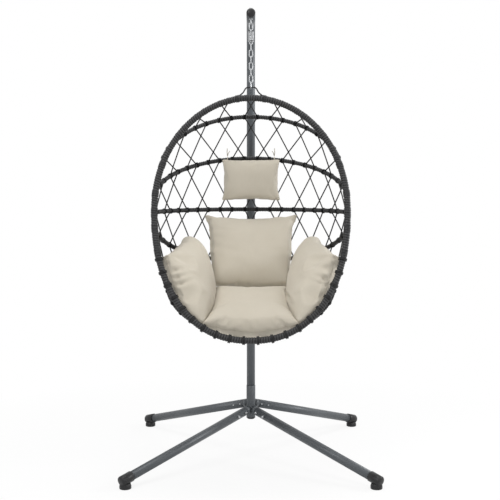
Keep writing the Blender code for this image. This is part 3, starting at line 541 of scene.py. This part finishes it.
def at_mark(line, marks, goal):
    for i in range(len(marks) - 1):
        if marks[i] <= goal <= marks[i + 1]:
            share = (goal - marks[i]) / (marks[i + 1] - marks[i])
            return line[i].lerp(line[i + 1], share), (line[i + 1] - line[i]).normalized()
    return None


def net_band(band, upper, lower):
    """A band's cords, each with where it starts and ends."""
    upper_marks, lower_marks = marked(upper), marked(lower)
    pitches = 2 if TOP_BAND < band < LOW_BAND else 1
    for i in range(-18, 18):
        way = 1 if (i + band) % 2 == 0 else -1
        goal = (i + 0.5) * CORD_PITCH
        if band == TOP_BAND:
            way = -way
            goal += 0.14 * way * CORD_PITCH
        end_goal = (i + 0.5 + way * pitches) * CORD_PITCH
        start, end = at_mark(upper, upper_marks, goal), at_mark(lower, lower_marks, end_goal)
        if not start or not end or abs(goal) > upper_marks[-1] - BARE_ENDS[band]:
            continue
        if abs(end_goal) > lower_marks[-1] - BARE_ENDS[band + 1]:
            continue
        a, b = start[0], end[0]
        out = (a + b) / 2 - MIDDLE
        out.normalize()
        middle = (a + b) / 2 + out * 0.0015
        cord = [a, a.lerp(middle, 0.5) + out * 0.0008, middle, b.lerp(middle, 0.5) + out * 0.0008, b]
        yield cord, start, end


def tie(place, along, radius):
    return [(place + along * shift, along, radius) for shift in TIE_SIDES]


def make_net():
    """Cords from the rim's top over every rib to the rim's bottom, wound once round each."""
    top = [rim_at(radians(a)) for a in range(14, 167)]
    bottom = [rim_at(-radians(a)) for a in range(18, 163)]
    lines = [top, *[rib_line(n) for n in range(1, len(RIBS) + 1)], bottom]
    cords, ties, top_ties, low_ties = [], [], [], []
    for band in range(LOW_BAND + 1):
        for cord, start, end in net_band(band, *lines[band:band + 2]):
            cords.append(cord)
            if band == TOP_BAND:
                top_ties += tie(*start, RIM_R + RIM_TIE)
            else:
                ties += tie(*start, RIB_R + RIB_TIE)
            if band == LOW_BAND:
                low_ties += tie(*end, RIM_R + RIM_TIE)
            else:
                ties += tie(*end, RIB_R + RIB_TIE)
    marks = marked(bottom)
    for i in range(-11, 11):
        mark = (i + 0.5) * CORD_PITCH
        if abs(mark) < marks[-1] - 0.012:
            place, along = at_mark(bottom, marks, mark)
            if all((place - other[0]).length > 0.02 for other in low_ties):
                low_ties += tie(place, along, RIM_R + RIM_TIE)
    low_ties = [(place, along, radius + LOW_TIE) for place, along, radius in low_ties]
    net = swept("net_cords", cords, CORD_R, 8)
    piece("net_cords", net, "net_cord", "basket", [f"net_band_{n}" for n in range(1, len(RIBS))])
    piece("rib_ties", rings("rib_ties", ties, CORD_R, 10, 4), "net_cord", "basket")
    piece("rim_top_ties", rings("rim_top_ties", top_ties, 0.0014), "wicker", "basket")
    piece("rim_low_ties", rings("rim_low_ties", low_ties, CORD_R), "net_cord", "basket")


# ---- metal ----

def link_bar(name, centre, length, across):
    """A closed oval of wire."""
    radius, steps = (LINK_WIDTH - LINK_WIRE) / 2, 12
    straight = length / 2 - LINK_WIRE / 2 - radius
    line = arc(centre + Z * straight, radius, 0.0, pi, steps, across, Z)
    line += arc(centre - Z * straight, radius, pi, 2 * pi, steps, across, Z)
    return swept(name, [line], LINK_WIRE / 2, 14, True)


def wire_eye(name, z, radius, wire, steps, sides, across):
    ring = arc(Vector((0, HANG_Y, z)), radius, 0, 2 * pi, steps, across, Z)
    return swept(name, [ring[:-1]], wire, sides, True)


def make_chain():
    for number in range(CHAIN_LINKS):
        name = f"chain_link_{number + 1}"
        centre = Vector((0, HANG_Y, CHAIN_Z - number * CHAIN_PITCH))
        mesh = link_bar(f"forged_{name}", centre, CHAIN_LINK_LENGTH, X if number % 2 else Y)
        piece(f"forged_{name}", mesh, "zinc", "chain", (name,))


def make_quick_link(name, z, across, body):
    centre = Vector((0, HANG_Y, z))
    piece(f"{name}_bar", link_bar(f"{name}_bar", centre, QUICK_LINK_LENGTH, across), "zinc", body, (name,))
    bore, outer, half = 0.0021, 0.0035, 0.006
    nut = lathed(f"{name}_nut", [(bore, half), (0.0033, half), (outer, 0.0055), (outer, -0.0055),
                                 (0.0033, -half), (bore, -half), (bore, half)], 6,
                 centre + across * ((LINK_WIDTH - LINK_WIRE) / 2))
    soft_edges(piece(f"{name}_nut", nut, "zinc", body, (f"{name}_sleeve",), smooth=False), 0.0003)


def make_spring():
    """The coil stretches between the hook and the spring's foot."""
    curls, per_curl, wire, curl_r = 10, 24, 0.003, 0.011
    low, high = SPRING_BOTTOM + wire / 2 + ROOM, SPRING_TOP - wire / 2 - ROOM
    coil = []
    for i in range(curls * per_curl + 1):
        angle = 2 * pi * i / per_curl
        coil.append(Vector((curl_r * cos(angle), HANG_Y + curl_r * sin(angle),
                            low + (high - low) * i / (curls * per_curl))))
    mesh = swept("wound_spring", [coil], wire / 2 * 1.05, 10)
    spring = piece("wound_spring", mesh, "zinc", None, ("hanger_spring",))
    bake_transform(spring)


def make_spring_plug(name, end, eye_z, up, across, body):
    seat = lathed(f"{name}_seat", [(0, 0.0022), (0.009, 0.0022), (0.0118, 0.0016), (0.0125, 0.0008),
                                   (0.0125, 0), (0.0082, 0), (0.0082, -0.0095), (0.0075, -0.01),
                                   (0, -0.01)], 32, Vector((0, HANG_Y, end)), Z * up)
    eye = wire_eye(f"{name}_eye", eye_z, 0.0056, 0.002, 24, 12, across)
    piece(f"{name}_turned", joined(f"{name}_turned", [seat, eye]), "zinc", body, (name,))


def make_eye_bolt():
    eye = wire_eye("eye_ring", EYE_Z, 0.010, 0.003, 36, 14, Y)
    under, over = ARM_Z - TUBE_R - ROOM, ARM_Z + TUBE_R
    shank, collar = 0.004, 0.008
    stem = lathed("eye_stem", [(0, over + 0.0074), (0.0034, over + 0.0074), (shank, over + 0.0070),
                               (shank, under), (0.0072, under), (collar, under - 0.0008),
                               (collar, under - 0.0022), (0.0065, under - 0.003), (0, under - 0.003)],
                  32, Vector((0, HANG_Y, 0)))
    piece("forged_eye_bolt", joined("forged_eye_bolt", [eye, stem]), "zinc", "stand", ("eye_bolt",))
    bore, outer, low, high = 0.0043, 0.0075, over + ROOM, over + 0.0068
    nut = lathed("hex_nut", [(bore, low), (outer, low), (outer, high), (bore, high), (bore, low)], 6,
                 Vector((0, HANG_Y, 0)))
    soft_edges(piece("hex_nut", nut, "zinc", "stand", ("eye_nut",), smooth=False), 0.0004)


def make_hanging_parts():
    make_chain()
    make_quick_link("upper_quick_link", UPPER_LINK_Z, X, "hook")
    make_quick_link("lower_quick_link", LOWER_LINK_Z, Y, "lower_link")
    make_spring()
    make_spring_plug("spring_top_plug", SPRING_TOP + ROOM, TOP_EYE_Z, 1, Y, "hook")
    make_spring_plug("spring_bottom_plug", SPRING_BOTTOM - ROOM, BOTTOM_EYE_Z, -1, X, "spring_foot")
    make_eye_bolt()


def eased(points, parts=6):
    """A smooth line through points."""
    ends = [points[0] * 2 - points[1], *points, points[-1] * 2 - points[-2]]
    made = []
    for before, a, b, after in zip(ends, ends[1:], ends[2:], ends[3:]):
        made += [smooth_step(before, a, b, after, k / parts) for k in range(parts)]
    return made + [points[-1]]


def on_rim(x, lift):
    """Place above the rim's upper side, and the rim's direction there."""
    here, there = rim_at(acos(x / RIM_HALF)), rim_at(acos(x / RIM_HALF) + 0.01)
    out = (there - here).cross(FRONT).normalized()
    return here + (out if out.dot(here - MIDDLE) > 0 else -out) * lift, (there - here).normalized()


# the bow's right half: across and down from its top, then across and above the rim's surface
BOW_TOP = ((0, 0), (0.010, 0), (0.0175, 0.0012), (0.0235, 0.0065), (0.0280, 0.0150), (0.0335, 0.0240))
BOW_FOOT = ((0.044, 0.0030), (0.054, 0.0002), (0.068, -0.0010), (0.086, -0.0022))
BOW_LASHES = (0.051, 0.0545, 0.058, 0.0615)


def make_bow():
    """Bent rod: a flat top where the link hangs, two swept legs, and feet under the rim's winding."""
    top = RIM_RISE + BOW_RISE
    right = [in_basket(x, top - drop, 0) for x, drop in BOW_TOP]
    right += [on_rim(x, RIM_R + lift)[0] for x, lift in BOW_FOOT]
    left = [Vector((-p.x, p.y, p.z)) for p in right[1:]]
    bow = swept("bent_bow", [eased(left[::-1] + right)], 0.003, 14)
    piece("bent_bow", bow, "black_plastic", "basket", ("hanger_bow",))
    lashes = []
    for side in (-1, 1):
        for x in BOW_LASHES:
            place, along = on_rim(side * x, 0.0010)
            lashes.append((place, along, RIM_R + 0.0022))
    piece("bow_lashings", rings("bow_lashings", lashes, 0.0014, 20), "wicker", "basket")


# ---- stand ----

STUB_R = 0.0166
BOLT_LENGTH = 0.0433
LEG_BOLTS = (0.052, 0.098)   # along a leg from the pole's line


def leg_line(side_x, side_y):
    """Where a leg's line meets the pole's, its end over the foot's pad, and its direction."""
    meet = Vector((0, POLE_Y, LEG_FRONT_Z if side_y < 0 else LEG_BACK_Z))
    over_pad = Vector((side_x * FOOT_X, POLE_Y + side_y * FOOT_Y, FOOT_Z))
    return meet, over_pad, (over_pad - meet).normalized()


def make_tube(node, route):
    name = f"painted_{node}"
    piece(name, swept(name, [route], TUBE_R, 40), "powder_coat", "stand", (node,))


def make_pole():
    make_tube("pole_lower", [Vector((0, POLE_Y, POLE_FOOT)), Vector((0, POLE_Y, POLE_LOWER_TOP))])
    bend = Vector((0, POLE_Y - ARM_BEND, ARM_Z - ARM_BEND))
    make_tube("pole_upper", [Vector((0, POLE_Y, POLE_UPPER_FOOT)),
                             *arc(bend, ARM_BEND, 0.0, pi / 2, 32, Y, Z),
                             Vector((0, POLE_Y - ARM_REACH, ARM_Z))])


def make_end_cap():
    dome = [(TUBE_R * cos(a), 0.0025 + 0.0085 * sin(a)) for a in (pi / 2 * k / 8 for k in range(8, -1, -1))]
    dome[0] = (0.0, 0.011)
    cap = lathed("domed_cap", dome + [(0.0188, 0.0004), (0.0185, 0.0), (0.0165, 0.0), (0.0165, -0.018),
                                      (0, -0.018)], 40, Vector((0, POLE_Y - ARM_REACH - ROOM, ARM_Z)), -Y)
    piece("domed_cap", cap, "black_plastic", "stand", ("arm_end_cap",))


def make_base():
    """The hub with its welded arms, and on each arm a leg with its bolts and foot."""
    bore, edge = 0.0193, 0.0199
    sleeve = [(bore, HUB_TOP), (edge, HUB_TOP), (HUB_R, HUB_TOP - 0.0008), (HUB_R, 0.1735),
              (edge, HUB_FOOT), (bore, HUB_FOOT), (bore, HUB_TOP)]
    parts = [lathed("hub_sleeve", sleeve, 48, Vector((0, POLE_Y, 0)))]
    for side_x in (-1, 1):
        for side_y in (-1, 1):
            meet, over_pad, along = leg_line(side_x, side_y)
            place = f"{'front' if side_y < 0 else 'back'}_{'left' if side_x < 0 else 'right'}"
            parts.append(swept("hub_arm", [[meet + along * 0.0195, meet + along * 0.038]], TUBE_R, 40))
            parts.append(swept("hub_stub", [[meet + along * 0.037, meet + along * 0.148]], STUB_R, 32))
            parts.append(weld_bead(meet, along))
            make_tube(f"leg_{place}", [meet + along * 0.0385, over_pad + along * 0.0225])
            make_leg_bolts(place, meet, along, side_y)
            make_foot(f"foot_{place}", over_pad, along)
    piece("welded_hub", joined("welded_hub", parts), "powder_coat", "stand", ("hub",))
    plug = lathed("hub_foot_plug", [(0, 0.1845), (0.018, 0.1845), (0.0189, 0.1835), (0.0189, 0.1727),
                                    (HUB_R, 0.1727), (HUB_R, 0.1700), (0.0150, 0.1650), (0, 0.1640)],
                  40, Vector((0, POLE_Y, 0)))
    piece("hub_foot_plug", plug, "black_plastic", "stand", ("hub_plug",))


def make_stand():
    make_pole()
    make_end_cap()
    make_base()
    for name, z in POLE_BOLTS:
        make_bolt(f"pole_bolt_{name}", Vector((0, POLE_Y + TUBE_R + ROOM, z)), -Y, (f"pole_bolt_{name}",))


def weld_bead(meet, along):
    """A bead where a welded arm meets the hub's sleeve."""
    side = along.cross(Z).normalized()
    up = side.cross(along).normalized()
    level = Vector((along.x, along.y, 0))
    bead = []
    for i in range(48):
        a = 2 * pi * i / 48
        rim = side * (TUBE_R * cos(a)) + up * (TUBE_R * sin(a))
        flat = Vector((rim.x, rim.y, 0))
        across = flat - level.normalized() * flat.dot(level.normalized())
        reach = sqrt(max(0.0, HUB_R ** 2 - across.length ** 2))
        travel = (reach - flat.dot(level.normalized())) / level.length
        bead.append((*(meet + rim + along * travel), 1.0 + 0.25 * sin(i * 2.1)))
    return swept("bead", [bead], 0.0016, 8, True)


def make_bolt(name, head_seat, along, replaced=()):
    """Flanged hexagon head, and the plain end that comes out of the far side."""
    corner, flange, shank_r = 0.0058, 0.0066, 0.003
    head = lathed(f"{name}_head", [(0.0, 0.0045), (0.0052, 0.0045), (corner, 0.0038), (corner, 0.0009),
                                   (flange, 0.0009), (flange, 0.0), (0.0, 0.0)], 6, head_seat, -along)
    shank = lathed(f"{name}_shank", [(0.0, BOLT_LENGTH), (0.0024, BOLT_LENGTH),
                                     (shank_r, BOLT_LENGTH - 0.0008), (shank_r, -0.0004), (0.0, -0.0004)],
                   16, head_seat, along)
    mesh = joined(f"{name}_hex", [head, shank])
    soft_edges(piece(f"{name}_hex", mesh, "zinc", "stand", replaced, smooth=False), 0.0003)


def make_leg_bolts(place, meet, along, side_y):
    """Two cross bolts; the first stands for the solid."""
    across = along.cross(Z).normalized()
    if across.y * side_y < 0:
        across = -across
    for number, reach in enumerate(LEG_BOLTS, 1):
        seat = meet + along * reach + across * (TUBE_R + ROOM)
        replaced = (f"leg_bolt_{place}",) if number == 1 else ()
        make_bolt(f"leg_{place}_cross_bolt_{number}", seat, -across, replaced)


def make_foot(name, over_pad, along):
    """A sleeve over the leg's end and a round pad that comes up into it."""
    outer, mouth, tip, bore = 0.0221, -0.032, 0.026, 0.0193
    sleeve = lathed("sleeve", [(0, tip), (outer - 0.006, tip), (outer - 0.002, tip - 0.002),
                               (outer, tip - 0.006), (outer, mouth + 0.0008), (outer - 0.0008, mouth),
                               (bore, mouth), (bore, tip - 0.003), (0, tip - 0.003)], 40, over_pad, along)
    pad_top = over_pad.z - 0.0150
    pad = lathed("pad", [(0, pad_top), (0.0215, pad_top), (0.0228, 0.019), (0.0247, 0.0135), (0.025, 0.012),
                         (0.025, 0.0035), (0.0243, 0.0010), (0.0225, 0.0), (0.0, 0.0)], 40,
                 Vector((over_pad.x, over_pad.y, 0)))
    piece(f"moulded_{name}", joined(f"moulded_{name}", [sleeve, pad]), "black_plastic", "stand", (name,))


# ---- cushions ----

CUSHION_VOXEL, PILLOW_VOXEL = 0.006, 0.005
CLOTH_FRAMES = 20
CREASE_POINTS = 16
CLOTH_UNEVEN = ((0.0022, 11.0), (0.0010, 27.0))    # height, and how often
LIFT = 0.005                 # a pad's underside over the ribs' inner face

SEAT_ROWS, SEAT_SPAN, SEAT_THICK = (4.76, 6.78), 2.02, 0.116
BACK_ROWS, BACK_THICK = (3.10, 4.72), 0.118
ARM_ROWS, ARM_SPAN, ARM_THICK, ARM_OUTER = (4.05, 6.74), 2.69, 0.112, 7.5
PILLOW_HALF, PILLOW_THICK, PILLOW_Z = (0.1225, 0.0885), (0.012, 0.066), 1.2695

# folds: a route over the pad's face, a depth and a half width
SEAT_FOLDS = (([(-0.96, 0.25), (-0.55, 0.05)], 0.004, 0.012), ([(0.97, 0.35), (0.60, 0.10)], 0.004, 0.012),
              ([(0.10, -0.95), (0.18, -0.55)], 0.003, 0.012))
BACK_FOLDS = (([(0.97, -0.10), (0.35, 0.25)], 0.004, 0.013), ([(-0.97, 0.05), (-0.50, 0.20)], 0.0035, 0.012),
              ([(0.96, -0.55), (0.55, -0.45)], 0.003, 0.011),
              ([(-0.95, -0.85), (-0.70, -0.55)], 0.003, 0.011))
ARM_FOLDS = {"left": (([(-0.98, -0.34), (-0.20, -0.20)], 0.007, 0.010),
                      ([(-0.98, -0.10), (-0.35, -0.08)], 0.008, 0.009),
                      ([(-0.97, 0.16), (-0.55, 0.10)], 0.005, 0.009),
                      ([(0.30, -0.80), (0.55, -0.25)], 0.003, 0.012)),
             "right": (([(-0.98, -0.06), (-0.25, -0.14)], 0.008, 0.009),
                       ([(-0.97, -0.40), (-0.10, -0.22)], 0.005, 0.011),
                       ([(0.86, -0.15), (0.72, 0.25), (0.66, 0.75)], 0.007, 0.009))}
PILLOW_FOLDS = (([(-0.9, -0.95), (-0.55, -0.35)], 0.003, 0.009), ([(0.9, -0.95), (0.6, -0.4)], 0.003, 0.009),
                ([(0.2, 0.97), (0.1, 0.45)], 0.0025, 0.009))


def stuffed(name, node, shape, cells, cap, folds, voxel=CUSHION_VOXEL):
    """A padded piece: a mapped box, remeshed, blown up as cloth, creased and given its seam."""
    work = bmesh.new()
    bmesh.ops.create_cube(work, size=2.0)
    for axis in (0, 1):
        edges = [e for e in work.edges if abs(e.verts[0].co[axis] - e.verts[1].co[axis]) > 1e-4]
        bmesh.ops.subdivide_edges(work, edges=edges, cuts=cells[axis] - 1, use_grid_fill=True)
    for vert in work.verts:
        vert.co = shape(*vert.co)
    bmesh.ops.recalc_face_normals(work, faces=work.faces)
    mesh = bpy.data.meshes.new(name)
    work.to_mesh(mesh)
    work.free()
    obj = bpy.data.objects.new(name, mesh)
    bpy.context.scene.collection.objects.link(obj)
    even = obj.modifiers.new("even", "REMESH")
    even.mode = "VOXEL"
    even.voxel_size = voxel
    settle(obj)
    blow_up(obj, cap)
    relax = obj.modifiers.new("relax", "SMOOTH")
    relax.factor, relax.iterations = 0.5, 3
    settle(obj)
    press_folds(obj, shape, folds)
    obj.data.materials.clear()
    obj.data.materials.append(MATERIALS["cushion_cloth"])
    obj.data.shade_smooth()
    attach(obj, "basket")
    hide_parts(node)
    sew_seam(obj, shape)
    fine = obj.modifiers.new("fine", "SUBSURF")
    fine.levels = fine.render_levels = 1


def settle(obj):
    """Apply every modifier."""
    bpy.context.view_layer.update()
    mesh = bpy.data.meshes.new_from_object(obj.evaluated_get(bpy.context.evaluated_depsgraph_get()))
    obj.modifiers.clear()
    old = obj.data
    obj.data = mesh
    bpy.data.meshes.remove(old)


def blow_up(obj, cap):
    """Cloth under pressure, in which no point moves further than cap."""
    scene = bpy.context.scene
    before = [vert.co.copy() for vert in obj.data.vertices]
    cloth = obj.modifiers.new("cloth", "CLOTH")
    cloth.settings.use_pressure = True
    cloth.settings.uniform_pressure_force = 4.0
    cloth.settings.shrink_min = -0.05
    cloth.settings.tension_stiffness = 15
    cloth.settings.compression_stiffness = 15
    cloth.settings.bending_stiffness = 0.5
    cloth.settings.effector_weights.gravity = 0
    cloth.point_cache.frame_start, cloth.point_cache.frame_end = 1, CLOTH_FRAMES
    for step in range(1, CLOTH_FRAMES + 1):
        scene.frame_set(step)
    settle(obj)
    scene.frame_set(1)
    for vert, was in zip(obj.data.vertices, before):
        move = vert.co - was
        if move.length > cap:
            vert.co = was + move * (cap / move.length)


def press_folds(obj, shape, folds):
    """Folds in the pad's face, deepest where they start, and a slight unevenness all over."""
    tree = BVHTree.FromObject(obj, bpy.context.evaluated_depsgraph_get())
    mesh = obj.data
    normals = [vert.normal.copy() for vert in mesh.vertices]
    places = [vert.co.copy() for vert in mesh.vertices]
    moves = [0.0] * len(places)
    for route, depth, width in folds:
        line = evened([tree.find_nearest(shape(s, t, 1.0))[0] for s, t in route], CREASE_POINTS)
        near = 0.5 * length_of(line) + 4 * width
        for i, place in enumerate(places):
            if (place - line[CREASE_POINTS // 2]).length > near:
                continue
            gap, k = min(((place - spot).length, k) for k, spot in enumerate(line))
            if gap < 4 * width:
                fade = (1 - k / (CREASE_POINTS - 1)) ** 0.7
                swell = 0.45 * exp(-((gap - 2.0 * width) / width) ** 2)
                moves[i] += depth * fade * (swell - exp(-(gap / width) ** 2))
    for vert, normal, move in zip(mesh.vertices, normals, moves):
        uneven = sum(height * noise.noise(vert.co * often) for height, often in CLOTH_UNEVEN)
        vert.co = vert.co + normal * (move + uneven)


def sew_seam(obj, shape):
    """The sewn edge: a thin raised line round the pad, laid on its surface."""
    bpy.context.view_layer.update()
    tree = BVHTree.FromObject(obj, bpy.context.evaluated_depsgraph_get())
    steps = 40
    edge = [(-1 + 2 * k / steps, -1) for k in range(steps)] + [(1, -1 + 2 * k / steps) for k in range(steps)]
    edge += [(-s, -t) for s, t in edge]
    line = [tree.find_nearest(shape(s, t, 0.0))[0] for s, t in edge]
    for _ in range(3):
        line = [(line[k - 1] + line[k] * 2 + line[(k + 1) % len(line)]) / 4 for k in range(len(line))]
    line = [tree.find_nearest(place)[0] for place in line]
    name = f"{obj.name}_seam"
    piece(name, swept(name, [line], 0.0013, 8, True), "cushion_cloth", "basket", material=SEAM_CLOTH)


def crown(s, t, thick, edge, power=0.7):
    """A pad's thickness: full in the middle, edge at its sides."""
    return edge + (thick - edge) * (1 - abs(s) ** 3) ** power * (1 - abs(t) ** 3) ** power


def pad_shape(rows, sides, thick, edge=0.030, bulge=None, pull=0.0):
    """Maps a box onto the basket: s goes round it, t down the rows and r from the net to the sitter."""
    def shape(s, t, r):
        first, last = sides((t + 1) / 2)
        drawn = s * (1 - pull * (1 - t * t))
        turn = (first + last) / 2 + drawn * (last - first) / 2
        row = rows[0] + (rows[1] - rows[0]) * (0.5 + 0.5 * t * (1 - pull * (1 - s * s)))
        if bulge:
            row += bulge(s, t)
        back = shell_point(row, turn, RIB_R + LIFT)
        front = shell_point(row, turn, RIB_R + LIFT + crown(s, t, thick, edge), smooth=True)
        return back.lerp(front, (r + 1) / 2)
    return shape


def seat_side(share):
    """The seat's side seam, in degrees round the basket: it widens towards the front."""
    return 62.6 - 15.0 * max(0.0, share) ** 1.2


def seat_sides(share):
    return seat_side(share), 180 - seat_side(share)


def back_sides(share):
    return 57.4 + 3.2 * share, 122.6 - 3.2 * share


def back_top(s, t):
    """Rows that the back's top edge dips in the middle."""
    return 0.10 * (1 - s * s) * max(0.0, -t) ** 2


def arm_top(s, t):
    """Rows that an arm's top edge moves down: a rounded peak, a low shoulder at the rim."""
    peak = 0.26
    if s < peak:
        down = -0.34 + 1.16 * ((peak - s) / (1 + peak)) ** 1.2
    else:
        down = -0.34 + 0.77 * ((s - peak) / (1 - peak)) ** 1.7
    return down * ((1 - t) / 2) ** 1.2


def make_cushions():
    stuffed("padded_seat", "seat_cushion", pad_shape(SEAT_ROWS, seat_sides, SEAT_THICK), (26, 26), 0.014,
            SEAT_FOLDS)
    stuffed("padded_back", "back_cushion", pad_shape(BACK_ROWS, back_sides, BACK_THICK, 0.016, back_top, 0.03),
            (26, 26), 0.012, BACK_FOLDS)
    for side in ("left", "right"):
        def arm_sides(share, side=side):
            row = ARM_ROWS[0] + ARM_SPAN * share
            beside_back = 61.6 if row > 4.3 else 60.4
            inner = min(seat_side((row - SEAT_ROWS[0]) / SEAT_SPAN), beside_back) - 0.4
            return (180 - ARM_OUTER, 180 - inner) if side == "left" else (ARM_OUTER, inner)
        stuffed(f"padded_arm_{side}", f"arm_cushion_{side}",
                pad_shape(ARM_ROWS, arm_sides, ARM_THICK, 0.030, arm_top), (26, 30), 0.014, ARM_FOLDS[side])
    make_head_pillow()


def make_head_pillow():
    rib = shell_point(2, 90)
    centre = Vector((0, rib.y - RIB_R - 0.006 - 0.044, PILLOW_Z))
    half_x, half_z = PILLOW_HALF
    edge, rise = PILLOW_THICK

    def shape(s, t, r):
        x = s * half_x * (1 - 0.035 * (1 - t * t))
        z = t * half_z * (1 - 0.035 * (1 - s * s))
        thick = edge + rise * (1 - abs(s) ** 3) ** 0.6 * (1 - abs(t) ** 3) ** 0.6
        return centre + Vector((x, -r * thick / 2, z))
    stuffed("padded_head_pillow", "head_pillow", shape, (24, 18), 0.010, PILLOW_FOLDS, PILLOW_VOXEL)
    for name, side in (("left", -1), ("right", 1)):
        make_pillow_tape(name, side, centre)


def make_pillow_tape(name, side, centre):
    """Cream tape from the pillow's top seam over the rib, with its two ends standing up behind."""
    x = side * 0.104
    rib = shell_point(2, degrees(acos(x / rim_width(RIBS[1][1]))))
    seam = Vector((x, centre.y, centre.z + 0.084))
    lap = RIB_R + 0.0035
    over = [rib + Vector((0, -lap * cos(a), lap * sin(a))) for a in (0.5, 0.9, 1.3, 1.7, 2.1, 2.6)]
    tail = rib + Vector((0, lap * 0.4, lap + 0.004))
    ends = [[seam, *over],
            [tail, tail + Vector((side * -0.004, 0.002, 0.014)), tail + Vector((side * -0.010, 0, 0.022))],
            [tail, tail + Vector((side * 0.002, -0.002, 0.018)), tail + Vector((side * 0.001, -0.003, 0.034))]]
    mesh = swept(f"pillow_tape_{name}", ends, 0.0017, 8)
    piece(f"pillow_tape_{name}", mesh, "cushion_cloth", "basket", (f"head_pillow_tie_{name}",),
          material=SEAM_CLOTH)


make_rim()
make_ribs()
make_net()
make_hanging_parts()
make_bow()
make_stand()
make_cushions()

# ---- camera, light and floor ----
CAMERA_AWAY, CAMERA_Z, CAMERA_DOWN = 4.6332, 1.2880, radians(1.438)

camera_data = bpy.data.cameras.new("camera")
camera_data.sensor_width = 36.0
camera_data.lens = 72.46
camera_data.shift_x, camera_data.shift_y = -0.0018, -0.098
camera_data.clip_end = 100
camera = bpy.data.objects.new("camera", camera_data)
camera.location = (0, POLE_Y - CAMERA_AWAY, CAMERA_Z)
camera.rotation_euler = (pi / 2 - CAMERA_DOWN, 0, 0)
bpy.context.scene.collection.objects.link(camera)
bpy.context.scene.camera = camera


def lamp(name, place, aim, size, power):
    data = bpy.data.lights.new(name, "AREA")
    data.shape, data.size, data.energy = "DISK", size, power
    obj = bpy.data.objects.new(name, data)
    obj.location = place
    obj.rotation_euler = (Vector(aim) - Vector(place)).to_track_quat("-Z", "Y").to_euler()
    bpy.context.scene.collection.objects.link(obj)


lamp("key", (-2.2, -3.6, 3.6), (0, -0.3, 1.0), 2.4, 82)
lamp("fill", (3.0, -3.0, 2.2), (0, -0.3, 1.0), 2.4, 27)
lamp("top", (0.0, -0.6, 4.4), (0, -0.3, 0.8), 2.2, 66)
lamp("right strip", (2.6, 0.1, 1.6), (0, -0.1, 1.2), 1.0, 34)

SKY_LIGHT = 0.36
FLOOR_RADIUS = 14.0
GLOW_NEAR, GLOW_FAR = (0.7, 0.86), (1.9, 1.0)    # distance from the middle, and share of plain white


def make_world():
    """Soft light from all round, and a white backdrop."""
    world = bpy.data.worlds.new("pale_studio")
    bpy.context.scene.world = world
    world.use_nodes = True
    sky = Looks(world.node_tree)
    light, backdrop = (sky.node("ShaderNodeBackground", None, {"Color": WHITE, "Strength": strength})
                       for strength in (SKY_LIGHT, 1.0))
    sky.surface("World Output", sky.backdrop_ray(), light, backdrop)


def make_floor():
    """A round pale floor that is white to the camera away from the chair's shadow."""
    work = bmesh.new()
    bmesh.ops.create_circle(work, cap_ends=True, segments=96, radius=FLOOR_RADIUS)
    mesh = bpy.data.meshes.new("floor")
    work.to_mesh(mesh)
    work.free()
    floor = bpy.data.objects.new("floor", mesh)
    floor.location.z = -0.0005
    bpy.context.scene.collection.objects.link(floor)
    pale = Finish("pale_floor", 0.9)
    pale.give("Base Color", colour(0.94, 0.94, 0.94))
    glow = pale.node("ShaderNodeEmission", None, {"Color": WHITE, "Strength": 1.0})
    reach = pale.node("ShaderNodeVectorMath", {"operation": "LENGTH"}, {0: pale.where}, output="Value")
    share = pale.node("ShaderNodeMapRange", None,
                      {"Value": reach, "From Min": GLOW_NEAR[0], "From Max": GLOW_FAR[0],
                       "To Min": GLOW_NEAR[1], "To Max": GLOW_FAR[1]})
    plain = Reading(pale, pale.shader.outputs[0])
    pale.surface("Material Output", share * pale.backdrop_ray(), plain, glow)
    mesh.materials.append(pale.material)


make_world()
make_floor()
bpy.context.scene.view_settings.view_transform = "Standard"
